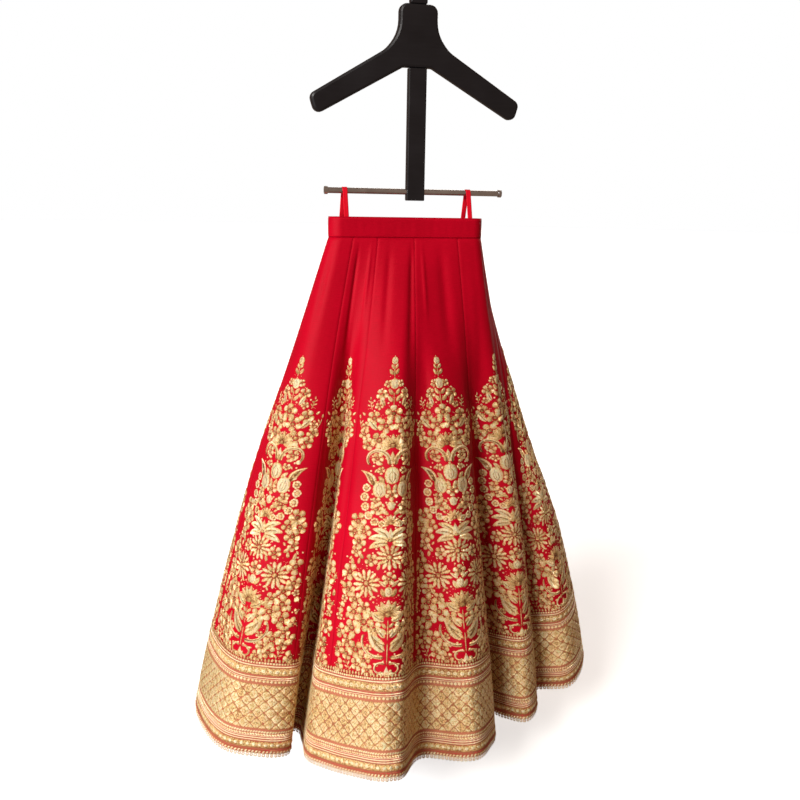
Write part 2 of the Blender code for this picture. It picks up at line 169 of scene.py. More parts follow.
KALI_COUNT = 12
KALI_LENGTH = 1.066
KALI_HEM_CUT = 0.266
KALI_WAIST_CUT = 0.058
WAIST_HALF_WIDTH = 0.1635
WAIST_HALF_DEPTH = 0.0230
WAIST_DROP = 0.575
SKIRT_SHIFT = -0.017
BORDER_HEIGHT = 0.192
BORDER_TOP = 1 - BORDER_HEIGHT / KALI_LENGTH
FOLD_RISE = 0.35
FOLD_BLUR = 0.30

# One row for each line where the hem turns, from the -X side round by the front.
# kali: where on the cloth the line lies. waist: its share of the waist's girth.
# across, forward: where it meets the hem, from the waist's centre.
# belly: how much sooner than a straight line it swings out on its way down.
# starts: the fall at which its fold begins to rise out of the smooth cloth above.
HEM_TURNS = (
    # name,          kali,  waist,  across, forward, belly, starts
    ("side_left",    0.00, -0.012, -0.443,  0.032,  0.28,  0.10),
    ("lobe_a_bend",  0.48,  0.021, -0.408, -0.099,  0.25,  0.10),
    ("lobe_a",       0.80,  0.067, -0.334, -0.143,  0.25,  0.10),
    ("lobe_a_edge",  1.10,  0.090, -0.263, -0.129,  0.24,  0.10),
    ("fold_ab_in",   1.38,  0.108, -0.260, -0.052, -0.30,  0.08),
    ("fold_ab",      1.45,  0.113, -0.247, -0.037, -0.35,  0.08),
    ("fold_ab_out",  1.52,  0.118, -0.235, -0.054, -0.30,  0.08),
    ("lobe_c_left",  1.94,  0.150, -0.226, -0.195,  0.20,  0.08),
    ("lobe_c",       2.60,  0.236, -0.106, -0.334,  0.22,  0.10),
    ("valley_cd",    3.12,  0.274, -0.011, -0.215,  0.05,  0.12),
    ("lobe_d",       3.50,  0.300,  0.084, -0.272,  0.20,  0.12),
    ("lobe_d_flank", 3.82,  0.366,  0.160, -0.190,  0.22,  0.10),
    ("fold_de",      4.24,  0.440,  0.205, -0.062, -0.35,  0.10),
    ("lobe_e",       4.48,  0.478,  0.262, -0.120,  0.34,  0.22),
    ("lobe_e_edge",  4.70,  0.495,  0.308, -0.078,  0.36,  0.28),
    ("valley_ef",    5.02,  0.516,  0.336,  0.004,  0.30,  0.34),
    ("lobe_f",       5.42,  0.540,  0.414, -0.034,  0.40,  0.36),
    ("side_right",   5.98,  0.584,  0.490,  0.068,  0.46,  0.34),
    ("lobe_g",       6.50,  0.626,  0.439,  0.163,  0.40,  0.26),
    ("fold_gh",      6.88,  0.651,  0.348,  0.133, -0.10,  0.16),
    ("lobe_h",       7.38,  0.684,  0.302,  0.245,  0.25,  0.14),
    ("valley_hi",    7.82,  0.713,  0.207,  0.196,  0.10,  0.12),
    ("lobe_i",       8.40,  0.751,  0.122,  0.317,  0.25,  0.10),
    ("valley_ij",    8.86,  0.782,  0.040,  0.238,  0.05,  0.12),
    ("lobe_j",       9.34,  0.813, -0.044,  0.329,  0.25,  0.12),
    ("fold_jk",      9.86,  0.847, -0.133,  0.220, -0.20,  0.10),
    ("lobe_k",      10.34,  0.879, -0.220,  0.293,  0.25,  0.12),
    ("valley_kl",   10.78,  0.908, -0.287,  0.201,  0.10,  0.14),
    ("lobe_l",      11.20,  0.935, -0.365,  0.205,  0.30,  0.16),
    ("fold_la",     11.50,  0.955, -0.384,  0.122,  0.10,  0.18),
    ("lobe_l_end",  11.72,  0.970, -0.433,  0.112,  0.30,  0.16),
)
TURNS = np.array([row[1:] for row in HEM_TURNS])
KALI, WAIST, ACROSS, FORWARD, BELLY, STARTS = range(6)

# Soft creases in the cloth. top, foot: the falls between which it runs. lean: how many kalis it
# drifts over a whole fall. half: half its width in kalis. lift: out from the cloth in mm, or into
# it below zero. The puckers start at the waist seam; the long creases run out over the hem.
PAST_HEM = 1.9
WAIST_PUCKERS = (
    # kali, foot, lean, half, lift
    (0.55, 0.2, 0.05, 0.06, -2.4), (1.3, 0.27, 0.1, 0.075, -3.2),
    (1.82, 0.17, -0.05, 0.055, 2.2), (2.28, 0.24, 0.06, 0.065, -2.6),
    (2.86, 0.3, -0.1, 0.08, -3.4), (3.35, 0.18, 0.08, 0.05, 2.0),
    (3.72, 0.25, 0.04, 0.065, -2.8), (4.52, 0.21, -0.06, 0.06, -2.2),
    (6.4, 0.22, 0.06, 0.06, -2.4), (7.15, 0.28, -0.08, 0.075, -3.2),
    (7.66, 0.17, 0.05, 0.055, 2.2), (8.22, 0.26, 0.05, 0.07, -2.8),
    (8.97, 0.3, -0.08, 0.08, -3.2), (9.6, 0.2, 0.04, 0.06, -2.2),
    (10.35, 0.26, 0.07, 0.07, -2.8), (11.25, 0.22, -0.05, 0.065, -2.4),
)
LONG_CREASES = (
    # where, kali, top, half, lift
    ("lobe_a_tuck", 1.16, 0.22, 0.13, -10.0),
    ("fold_ab_crease", 1.46, 0.26, 0.055, -11.0),
    ("lobe_c_swell", 1.84, 0.26, 0.15, 9.0),
    ("fold_de_crease", 4.25, 0.26, 0.045, -7.0),
    ("lobe_c_round", 2.61, 0.24, 0.07, -5.5),
    ("lobe_d_round", 3.48, 0.24, 0.06, -2.0),
    ("lobe_f_round", 5.41, 0.3, 0.06, -2.4),
    ("lobe_h_round", 7.39, 0.24, 0.06, -4.0),
    ("lobe_i_round", 8.41, 0.24, 0.06, -4.0),
    ("lobe_j_round", 9.33, 0.24, 0.06, -3.6),
    ("lobe_k_round", 10.34, 0.24, 0.06, -3.6),
    ("lobe_l_round", 11.2, 0.24, 0.06, -3.4),
)
CREASES = (
    # where, kali, top, foot, lean, half, lift
    *(("waist_pucker", kali, 0.0, *row) for kali, *row in WAIST_PUCKERS),
    *((where, kali, top, PAST_HEM, 0.0, *row) for where, kali, top, *row in LONG_CREASES),
    ("seam_bc_crease", 1.98, 0.3, 0.66, -0.1, 0.055, -4.2),
    ("seam_bc_ridge", 2.09, 0.38, 0.62, -0.1, 0.045, 1.6),
    ("lobe_c_ripple", 2.26, 0.55, 1.4, 0.04, 0.1, -3.6),
    ("valley_cd_ridge", 3.02, 0.34, 0.76, 0.03, 0.055, 3.0),
    ("lobe_d_crease", 3.26, 0.22, 0.52, 0.1, 0.045, -2.4),
    ("lobe_d_hem", 3.7, 0.74, 1.4, 0.02, 0.08, -3.0),
    ("lobe_a_ripple", 0.7, 0.6, 1.4, 0.06, 0.1, -3.0),
    ("lobe_a_crease", 1.06, 0.3, 0.58, 0.05, 0.045, -2.2),
    ("lobe_e_crease", 4.66, 0.28, 0.6, 0.1, 0.06, -3.0),
    ("lobe_f_crease", 5.22, 0.24, 0.56, 0.14, 0.06, -3.4),
    ("side_right_crease", 5.86, 0.3, 0.7, -0.1, 0.055, -2.6),
    ("lobe_g_ripple", 6.32, 0.58, 1.4, 0.03, 0.09, -3.4),
    ("lobe_h_crease", 7.5, 0.3, 0.66, -0.08, 0.055, -3.6),
    ("lobe_h_hem", 7.22, 0.72, 1.4, 0.02, 0.08, -2.8),
    ("valley_hi_ridge", 7.96, 0.36, 0.74, 0.04, 0.055, 2.8),
    ("lobe_i_crease", 8.28, 0.32, 0.62, 0.08, 0.045, -2.6),
    ("lobe_i_ripple", 8.56, 0.6, 1.4, -0.05, 0.1, -3.2),
    ("lobe_j_crease", 9.5, 0.28, 0.68, -0.1, 0.055, -3.8),
    ("lobe_j_hem", 9.18, 0.76, 1.4, 0.03, 0.07, -2.6),
    ("lobe_k_crease", 10.48, 0.34, 0.6, -0.06, 0.05, -2.6),
    ("lobe_k_ripple", 10.2, 0.62, 1.4, 0.05, 0.09, -3.2),
    ("lobe_l_crease", 11.34, 0.3, 0.72, -0.04, 0.05, -2.8),
)

STEPS_PER_KALI = 64
FALL_LOW = -0.004
FALL_HIGH = 1.014
FALL_ROWS = 262
FALL_STEP = (FALL_HIGH - FALL_LOW) / (FALL_ROWS - 1)
FALLS = FALL_LOW + FALL_STEP * np.arange(FALL_ROWS)
CREASE_RISE = 0.45
PUCKER_RISE = 0.07


def turn_values(index, field):
    """A field of the turns with these indices, counting on round the hem without an end."""
    lap, row = np.divmod(index, len(TURNS))
    per_lap = {KALI: KALI_COUNT, WAIST: 1.0}.get(field, 0.0)
    return TURNS[row, field] + lap * per_lap


def between_turns(kali, field):
    """A field read smoothly between the turns either side of each kali."""
    kali = np.mod(kali, KALI_COUNT)
    index = np.searchsorted(TURNS[:, KALI], kali, side="right") - 1
    k0, k1, k2, k3 = (turn_values(index + step, KALI) for step in (-1, 0, 1, 2))
    v0, v1, v2, v3 = (turn_values(index + step, field) for step in (-1, 0, 1, 2))
    width = k2 - k1
    u = (kali - k1) / width
    slope_1 = (v2 - v0) / (k2 - k0) * width
    slope_2 = (v3 - v1) / (k3 - k1) * width
    return ((2 * u - 3) * u * u + 1) * v1 + ((u - 2) * u + 1) * u * slope_1 \
        + (3 - 2 * u) * u * u * v2 + (u - 1) * u * u * slope_2


def waist_point(share):
    """Points of the waist seam: two straight runs joined by two half circles."""
    radius = WAIST_HALF_DEPTH
    centre = WAIST_HALF_WIDTH - radius
    straight, bend = 2 * centre, math.pi * radius
    walk = np.mod(share, 1.0) * 2 * (straight + bend) - bend / 2
    knots = np.cumsum((-bend / 2, bend / 2, straight, bend, straight, bend / 2))
    half = math.pi / 2
    angle = np.interp(walk, knots, (-half, 0, 0, 2 * half, 2 * half, 3 * half))
    middle = np.interp(walk, knots, (-centre, -centre, centre, centre, -centre, -centre))
    return np.stack((middle + radius * np.sin(angle), -radius * np.cos(angle)), axis=-1)


def smooth_step(u):
    u = np.clip(u, 0.0, 1.0)
    return u * u * (3 - 2 * u)


def reach_of(kali):
    """Its point on the waist seam, and the way from there to its point on the hem."""
    waist = waist_point(between_turns(kali, WAIST))
    hem = np.stack((between_turns(kali, ACROSS), between_turns(kali, FORWARD)), axis=-1)
    return waist, hem - waist


def swing(kali, fall):
    """How far the cloth has swung out from its own waist point at this fall."""
    belly = between_turns(kali, BELLY)
    return reach_of(kali)[1] * (fall * (1 + belly) - belly * fall * fall)[..., None]


def drape_point(kali, fall):
    """The middle of the CAD's cloth wall."""
    out = swing(kali, fall)
    near = swing(kali - FOLD_BLUR, fall) + swing(kali + FOLD_BLUR, fall)
    far = swing(kali - 2 * FOLD_BLUR, fall) + swing(kali + 2 * FOLD_BLUR, fall)
    blur = 1 - smooth_step((fall - between_turns(kali, STARTS)) / FOLD_RISE)
    out = out + ((3 * out + 2 * near + far) / 9 - out) * blur[..., None]
    waist, reach = reach_of(kali)
    drop = np.sqrt(KALI_LENGTH ** 2 - (reach ** 2).sum(axis=-1))
    flat = waist + out
    return np.stack((flat[..., 0] + SKIRT_SHIFT, flat[..., 1], -drop * fall - WAIST_DROP), axis=-1)


def crease_lift(kali, fall):
    """How far the creases lift the cloth off the plain drape."""
    total = np.zeros_like(kali)
    for _, place, top, foot, lean, half, lift in CREASES:
        away = kali - place - lean * (fall - top)
        away = np.mod(away + KALI_COUNT / 2, KALI_COUNT) - KALI_COUNT / 2
        rise = CREASE_RISE * (foot - top)
        start = smooth_step((fall - top) / (PUCKER_RISE if top == 0 else rise))
        total += lift * MM * np.exp(-(away / half) ** 2) * start * smooth_step((foot - fall) / rise)
    return total


def outwards_of(points):
    """Unit normals of a grid of points, rows down the skirt and columns round it."""
    down, round_way = np.gradient(points, axis=(0, 1))
    normal = np.cross(down, round_way)
    return normal / np.linalg.norm(normal, axis=-1, keepdims=True)


def drape_grid():
    """Points and normals of the creased cloth, a node each FALL_STEP and 1/STEPS_PER_KALI."""
    spare = 2
    columns = np.arange(-spare, KALI_COUNT * STEPS_PER_KALI + 1 + spare) / STEPS_PER_KALI
    kali, fall = np.meshgrid(columns, FALLS)
    points = drape_point(kali, fall)
    points = points + outwards_of(points) * crease_lift(kali, fall)[..., None]
    return points[:, spare:-spare], outwards_of(points)[:, spare:-spare]


CLOTH_POINTS, CLOTH_NORMALS = drape_grid()


def between_nodes(grid, row, column):
    """A grid's values between its nodes, for arrays of fractional rows and columns."""
    r = np.clip(row.astype(int), 0, grid.shape[0] - 2)
    c = np.clip(column.astype(int), 0, grid.shape[1] - 2)
    v, u = row - r, column - c
    if grid.ndim == 3:
        v, u = v[:, None], u[:, None]
    upper = grid[r, c] * (1 - u) + grid[r, c + 1] * u
    lower = grid[r + 1, c] * (1 - u) + grid[r + 1, c + 1] * u
    return upper * (1 - v) + lower * v


def on_cloth(kali, fall, height):
    """Points at a height over the middle of the cloth wall."""
    row = (fall - FALL_LOW) / FALL_STEP
    column = kali * STEPS_PER_KALI
    normals = between_nodes(CLOTH_NORMALS, row, column)
    return between_nodes(CLOTH_POINTS, row, column) + normals * np.asarray(height)[..., None]


def fall_of(flat):
    """The falls of flat points whose second measure is up from the border's top."""
    return BORDER_TOP - flat[:, 1] / KALI_LENGTH


SIDES = np.linspace(-1.0, 1.0, 129)
CUT_ROWS = 60


class Kali:
    """One tapered panel: turns places on its flat cut into places on the drape."""

    def __init__(self, index):
        self.index = index
        self.letter = "abcdefghijkl"[index]
        columns = slice(index * STEPS_PER_KALI, (index + 1) * STEPS_PER_KALI + 1)
        steps = np.linalg.norm(np.diff(CLOTH_POINTS[:, columns], axis=1), axis=2)
        across = np.concatenate((np.zeros((FALL_ROWS, 1)), np.cumsum(steps, axis=1)), axis=1)
        middle = across[:, [STEPS_PER_KALI // 2]]
        self.left = middle[:, 0]
        self.right = across[:, -1] - self.left
        side = np.where(across < middle, (across - middle) / middle,
                        (across - middle) / self.right[:, None])
        kalis = index + np.arange(STEPS_PER_KALI + 1) / STEPS_PER_KALI
        self.kali_at_side = np.array([np.interp(SIDES, row, kalis) for row in side])

    def room(self, fall):
        """Cloth to the left and to the right of the middle line."""
        return np.interp(fall, FALLS, self.left), np.interp(fall, FALLS, self.right)

    def across(self, share, fall):
        """How far right of the middle line a share of the width is, and its side, -1 to 1."""
        left, right = self.room(fall)
        across = share * (left + right) - left
        return across, np.where(across < 0, across / left, across / right)

    def place(self, side, fall, height):
        """Points on the drape; side is -1 at the left seam, 1 at the right one and can go on."""
        row = (fall - FALL_LOW) / FALL_STEP
        column = (np.clip(side, -1, 1) + 1) / 2 * (len(SIDES) - 1)
        past_seam = np.clip(side - 1, 0, 1) / 2
        kali = between_nodes(self.kali_at_side, row, column) + past_seam
        return on_cloth(np.where(kali > KALI_COUNT, kali - KALI_COUNT, kali), fall, height)

    def column_side(self, flat):
        """Which side of the panel the motifs' flat points lie on, -1 to 1 from seam to seam."""
        fall = fall_of(flat)
        left, right = self.room(fall)
        half_cut = (KALI_WAIST_CUT + (KALI_HEM_CUT - KALI_WAIST_CUT) * fall) / 2
        ease = np.where(flat[:, 0] < 0, left, right) / half_cut
        return flat[:, 0] / half_cut * np.where(ease > 1, (1 + ease) / (2 * ease), 1.0)

    def place_column(self, flat):
        """Flat points (across from the middle line, up from the border, height) of the motifs."""
        return self.place(self.column_side(flat), fall_of(flat), flat[:, 2])

    def width(self, fall):
        left, right = self.room(fall)
        return left + right

    def cut(self, top, foot):
        """The flat size of its cloth between two falls: (widest, length) and area."""
        widths = self.width(np.linspace(top, foot, CUT_ROWS))
        length = (foot - top) * KALI_LENGTH
        return {"flat": (float(widths.max()), length), "area": float(widths.mean()) * length}

    def place_strip(self, flat):
        """Flat points (share of the width, up from the border, height) of the border."""
        fall = fall_of(flat)
        return self.place(self.across(flat[:, 0], fall)[1], fall, flat[:, 2])


KALIS = [Kali(index) for index in range(KALI_COUNT)]


# ---- modelling helpers ----

def deselect_all():
    if bpy.context.object and bpy.context.object.mode != "OBJECT":
        bpy.ops.object.mode_set(mode="OBJECT")
    bpy.ops.object.select_all(action="DESELECT")


def make_active(thing):
    deselect_all()
    thing.select_set(True)
    bpy.context.view_layer.objects.active = thing


def new_piece(name, points, faces, finish, maps, tones=None):
    """A mesh object from arrays; each point has a place on the threads, and maybe a tone."""
    mesh = bpy.data.meshes.new(name)
    mesh.from_pydata(points.tolist(), [], faces.tolist())
    piece = bpy.data.objects.new(name, mesh)
    bpy.context.scene.collection.objects.link(piece)
    corner_points = np.zeros(len(mesh.loops), dtype=np.int32)
    mesh.loops.foreach_get("vertex_index", corner_points)
    layer = mesh.uv_layers.new(name="threads")
    layer.data.foreach_set("uv", maps[corner_points].astype(np.float32).ravel())
    if tones is not None:
        tone = mesh.attributes.new("tone", "FLOAT", "POINT")
        tone.data.foreach_set("value", tones.astype(np.float32))
    mesh.shade_smooth()
    mesh.materials.append(finish)
    return piece


def give_wall(piece, thickness):
    """Turns an open sheet into a wall behind its front face."""
    wall = piece.modifiers.new("wall", "SOLIDIFY")
    wall.thickness = thickness
    wall.offset = -1.0
    make_active(piece)
    bpy.ops.object.modifier_apply(modifier=wall.name)


def grid_faces(rows, columns):
    """Quads of a grid of points whose rows run down and whose columns run across, front out."""
    corner = (np.arange(rows - 1)[:, None] * columns + np.arange(columns - 1)).ravel()
    return np.stack((corner, corner + columns, corner + columns + 1, corner + 1), axis=1)


# ---- finishes ----

class Value:
    """A shader socket that can be used in sums."""

    def __init__(self, finish, socket):
        self.finish = finish
        self.socket = socket

    def _with(self, operation, *others):
        return self.finish.node("ShaderNodeMath", {"operation": operation}, self, *others)

    def __add__(self, other):
        return self._with("ADD", other)

    def __sub__(self, other):
        return self._with("SUBTRACT", other)

    def __mul__(self, other):
        return self._with("MULTIPLY", other)

    def __rsub__(self, other):
        return self.finish.node("ShaderNodeMath", {"operation": "SUBTRACT"}, other, self)

    __radd__ = __add__
    __rmul__ = __mul__

    def sine(self):
        return self._with("SINE")

    def clamped(self):
        return self._with("MAXIMUM", 0.0)._with("MINIMUM", 1.0)


class Finish:
    """A material; what is the same all over is given by socket name."""

    def __init__(self, name, **constants):
        self.material = bpy.data.materials.new(name)
        self.material.use_nodes = True
        self.tree = self.material.node_tree
        self.shader = self.tree.nodes["Principled BSDF"]
        for socket, value in constants.items():
            self.shader.inputs[socket.replace("_", " ")].default_value = value

    def node(self, kind, settings, *values, output=0, stops=None, **named):
        node = self.tree.nodes.new(kind)
        for setting, value in settings.items():
            setattr(node, setting, value)
        if stops:
            ramp = node.color_ramp.elements
            while len(ramp) < len(stops):
                ramp.new(1.0)
            for element, (place, colour) in zip(ramp, stops):
                element.position = place
                element.color = (*colour, 1.0)
        for socket, value in zip(node.inputs, values):
            self.give(socket, value)
        for name, value in named.items():
            self.give(node.inputs[name.replace("_", " ")], value)
        return Value(self, node.outputs[output])

    def give(self, socket, value):
        """Links a socket to a value, or sets it to a number, a vector or a colour."""
        if isinstance(value, Value):
            self.tree.links.new(value.socket, socket)
        else:
            socket.default_value = (*value, 1.0) if socket.type == "RGBA" else value

    def place(self):
        return self.node("ShaderNodeTexCoord", {}, output="Object")

    def threads(self):
        return self.node("ShaderNodeUVMap", {"uv_map": "threads"})

    def scaled(self, place, x, y, z):
        return self.node("ShaderNodeMapping", {}, Vector=place, Scale=(x, y, z))

    def noise(self, place, scale, detail=2.0, roughness=0.5):
        return self.node("ShaderNodeTexNoise", {}, Vector=place, Scale=scale, Detail=detail,
                         Roughness=roughness)

    def mixed(self, share, first, second, blend="MIX"):
        node = self.tree.nodes.new("ShaderNodeMix")
        node.data_type = "RGBA"
        node.blend_type = blend
        for place, value in ((0, share), (6, first), (7, second)):
            self.give(node.inputs[place], value)
        return Value(self, node.outputs[2])

    def feed(self, socket, value):
        self.give(self.shader.inputs[socket], value)

    def bump(self, height, distance, strength):
        self.feed("Normal", self.node("ShaderNodeBump", {}, Strength=strength, Distance=distance,
                                      Height=height))

    def ripple(self, place, axis, pitch):
        """A wave along one axis of a place, from -1 to 1 and back over each pitch in metres."""
        along = self.node("ShaderNodeSeparateXYZ", {}, Vector=place, output=axis)
        return (along * (2 * math.pi / pitch)).sine()


WARP_PITCH = 0.9 * MM
WEFT_PITCH = 0.8 * MM
STITCH_PITCH = 1.1 * MM


def raw_silk(name, lit, deep):
    """Hand-woven silk: a fine plain weave crossed by slubs, with a low sheen."""
    silk = Finish(name, Specular_IOR_Level=0.06, Sheen_Weight=0.08, Sheen_Roughness=0.35,
                  Sheen_Tint=(1.0, 0.02, 0.04, 1.0))
    cloth = silk.threads()
    slubs = silk.noise(silk.scaled(cloth, 60.0, 900.0, 1.0), 1.0, 3.0, 0.6)
    cloud = silk.noise(silk.place(), 9.0, 3.0)
    warp = silk.ripple(cloth, "X", WARP_PITCH)
    weft = silk.ripple(cloth, "Y", WEFT_PITCH)
    shade = (slubs * 0.9 + cloud * 0.7 - 0.35).clamped()
    silk.feed("Base Color", silk.mixed(shade, deep, lit))
    silk.feed("Roughness", slubs * 0.22 + 0.42)
    silk.bump(slubs * 1.4 + warp * weft * 0.25, 0.25 * MM, 0.6)
    return silk.material


def gold_thread(name, metallic, stops, painted_sparkle):
    """Zari in satin stitch; a motif's tone, painted relief shade included, picks its thread, and a fine noise paints
    glints into it.
    """
    zari = Finish(name, Metallic=metallic, Specular_IOR_Level=0.4)
    tone = zari.node("ShaderNodeAttribute", {"attribute_name": "tone"}, output="Fac")
    patina = zari.noise(zari.place(), 34.0, 3.0, 0.6)
    glint = zari.noise(zari.place(), 330.0, 2.0, 0.7)
    # painted highlight: the fine glint noise brightens the thread colour in specks; in roughness and bump below it is
    # real texture
    picked = tone + (patina - 0.5) * 0.5 + (glint - 0.5) * painted_sparkle
    hue = zari.noise(zari.place(), 150.0, 2.0, 0.6)
    tint = zari.mixed((hue * 2.6 - 0.8).clamped(), (1.0, 0.86, 0.78), (0.93, 1.0, 0.84))
    thread = zari.node("ShaderNodeValToRGB", {}, picked, stops=stops)
    zari.feed("Base Color", zari.mixed(1.0, thread, tint, "MULTIPLY"))
    zari.feed("Roughness", (0.62 - glint * 0.46).clamped())
    stitch = zari.ripple(zari.threads(), "Y", STITCH_PITCH)
    zari.bump(stitch * 0.5 + glint * 3.0, 0.6 * MM, 0.9)
    return zari.material


def lacquer(name, colour):
    """Black lacquer over wood: soft gloss, faint grain and rubbed patches."""
    coat = Finish(name, Specular_IOR_Level=0.35)
    place = coat.place()
    grain = coat.noise(coat.scaled(place, 18.0, 60.0, 260.0), 1.0, 3.0, 0.6)
    rubbed = coat.noise(place, 14.0, 3.0)
    coat.feed("Base Color", coat.mixed((grain * 0.5 + rubbed * 0.5).clamped(), colour,
                                       tuple(3.2 * part for part in colour)))
    coat.feed("Roughness", rubbed * 0.25 + 0.24)
    coat.bump(grain, 0.12 * MM, 0.5)
    return coat.material


def plated_steel(name):
    steel = Finish(name, Metallic=1.0)
    place = steel.place()
    drawn = steel.noise(steel.scaled(place, 300.0, 900.0, 300.0), 1.0, 2.0)
    smears = steel.noise(place, 40.0, 3.0)
    steel.feed("Base Color", steel.mixed(smears, (0.50, 0.50, 0.52), (0.74, 0.73, 0.72)))
    steel.feed("Roughness", smears * 0.2 + 0.16)
    steel.bump(drawn, 0.03 * MM, 0.4)
    return steel.material


ZARI_STOPS = (
    # tone, colour: russet, antique, gold, pale gold, cream
    (0.00, (0.20, 0.045, 0.018)),
    (0.26, (0.33, 0.16, 0.052)),
    (0.52, (0.71, 0.43, 0.18)),
    (0.74, (0.91, 0.66, 0.34)),
    (1.00, (0.99, 0.90, 0.68)),
)
BORDER_STOPS = ((0.00, (0.56, 0.055, 0.05)),) + ZARI_STOPS[1:]
PALE_STOPS = (
    # tone, colour: rose gold to pale gold
    (0.00, (0.38, 0.14, 0.09)),
    (0.40, (0.66, 0.38, 0.24)),
    (0.75, (0.84, 0.62, 0.44)),
    (1.00, (0.95, 0.84, 0.68)),
)

RED_SILK = raw_silk("red_raw_silk", (0.48, 0.0, 0.014), (0.28, 0.0, 0.006))
TISSUE = raw_silk("border_gold_tissue", (0.46, 0.165, 0.085), (0.28, 0.08, 0.045))
RED_RIBBON = raw_silk("red_satin_ribbon", (0.66, 0.006, 0.018), (0.48, 0.002, 0.012))
ZARI = gold_thread("gold_zari", 0.50, ZARI_STOPS, 1.5)
BORDER_ZARI = gold_thread("border_gold_zari", 0.45, BORDER_STOPS, 2.0)
LACE_ZARI = gold_thread("pale_gold_lace", 0.35, PALE_STOPS, 1.0)
LACQUER = lacquer("black_lacquer", (0.0035, 0.003, 0.0035))
STEEL = plated_steel("plated_steel")


# ---- stitched shapes ----

SUNK = -0.25


def taken_away(piece):
    """Points and triangles of a piece that is being edited; the piece itself goes."""
    bpy.ops.mesh.quads_convert_to_tris()
    bpy.ops.object.mode_set(mode="OBJECT")
    points = np.array([vertex.co for vertex in piece.data.vertices])
    faces = np.array([face.vertices for face in piece.data.polygons])
    bpy.data.objects.remove(piece, do_unlink=True)
    return points, faces


def stitched_shape(columns, rows, outline, crown, closed=True):
    """A low dome of thread on a spine from (0, 0) to (0, 1), unit relief.

    outline gives its half width at a place on the spine, crown its relief at a place on the
    spine and a share of the half width. Its rim is sunk so that it grows out of the cloth,
    but at its two ends only where it is closed.
    """
    deselect_all()
    bpy.ops.mesh.primitive_grid_add(x_subdivisions=columns, y_subdivisions=rows, size=2)
    patch = bpy.context.object
    for vertex in patch.data.vertices:
        side = math.copysign(abs(vertex.co.x) ** 0.6, vertex.co.x)
        spine = (vertex.co.y + 1) / 2
        rim = abs(side) > 0.999 or (closed and not 0.001 < spine < 0.999)
        vertex.co = (side * outline(spine), spine, SUNK if rim else crown(spine, side))
    bpy.ops.object.mode_set(mode="EDIT")
    bpy.ops.mesh.select_all(action="SELECT")
    bpy.ops.mesh.remove_doubles(threshold=0.001)
    return taken_away(patch)


def dome(spine, side):
    return math.sqrt(max(1 - side * side, 0.0)) * math.sin(math.pi * spine) ** 0.4


def veined(spine, side):
    return dome(spine, side) * (0.62 + 0.38 * min(abs(side) * 2, 1.0))


def rounded(spine, side):
    return 1 - side * side


def circle(spine):
    return math.sqrt(max(0.25 - (spine - 0.5) ** 2, 0.0))


def even(spine):
    return 0.5


def leafy(half, lean, taper):
    """A leaf's outline: widest beyond its middle for a lean over 1, more pointed for more taper."""
    return lambda spine: half * math.sin(math.pi * spine ** lean) ** taper


PETAL = stitched_shape(4, 4, leafy(0.34, 1.35, 0.6), dome)
SLIM_PETAL = stitched_shape(2, 4, leafy(0.125, 1.15, 0.7), dome)
LEAF = stitched_shape(4, 5, leafy(0.20, 0.85, 0.9), veined)
LONG_LEAF = stitched_shape(4, 8, leafy(0.125, 0.8, 0.9), veined)
SHORT_LEAF = stitched_shape(2, 4, leafy(0.26, 0.85, 0.9), dome)
GRAIN = stitched_shape(2, 3, leafy(0.24, 1.0, 0.6), dome)
WING = stitched_shape(4, 8, leafy(0.20, 0.55, 1.3), veined)
BEAD = stitched_shape(2, 2, circle, dome)
KNOT = stitched_shape(4, 3, circle, dome)
BOSS = stitched_shape(4, 4, circle, dome)
OVAL = stitched_shape(6, 6, lambda s: 0.74 * circle(s), dome)
SCROLL = stitched_shape(4, 18, lambda s: 0.062 * (1 - 0.45 * s) * min(1.0, 12 * s + 0.4), dome)
CORD = stitched_shape(2, 8, even, rounded)
LONG_CORD = stitched_shape(2, 44, even, rounded, closed=False)
BAND = stitched_shape(4, 44, even, lambda s, w: 1 - w ** 4, closed=False)
# The pillow's crown is raised near its rim, so the painted relief shade in lay makes its rim lighter and its middle
# darker.
PILLOW = stitched_shape(4, 4, lambda s: 0.5 - abs(s - 0.5),
                        lambda s, w: 0.35 + 0.9 * max(abs(w), abs(2 * s - 1)))
HALF_PILLOW = stitched_shape(4, 3, lambda s: 0.5 * (1 - s),
                             lambda s, w: 0.45 + 0.6 * max(abs(w), s))


def lace_loop():
    """A flattened ring of cord, 1 across and 1 along from its top."""
    deselect_all()
    bpy.ops.mesh.primitive_torus_add(major_segments=8, minor_segments=4, major_radius=0.35,
                                     minor_radius=0.17)
    ring = bpy.context.object
    bpy.ops.object.mode_set(mode="EDIT")
    bpy.ops.mesh.select_all(action="SELECT")
    bpy.ops.transform.translate(value=(0.0, 0.5, 0.0))
    bpy.ops.transform.resize(value=(1.0, 1.0, 3.0), center_override=(0.0, 0.0, 0.0))
    return taken_away(ring)


LACE_LOOP = lace_loop()
SPINE = np.linspace(0.0, 1.0, 41)
# Painted shade and highlight by relief: below the second height a thread's tone falls by the first value per unit of
# relief, and above it the tone rises, so sunk rims are painted darker and crowns lighter.
PAINTED_SHADE_PER_RELIEF = 0.62
UNSHADED_RELIEF = 0.75
COVERED_SHARE = 0.8


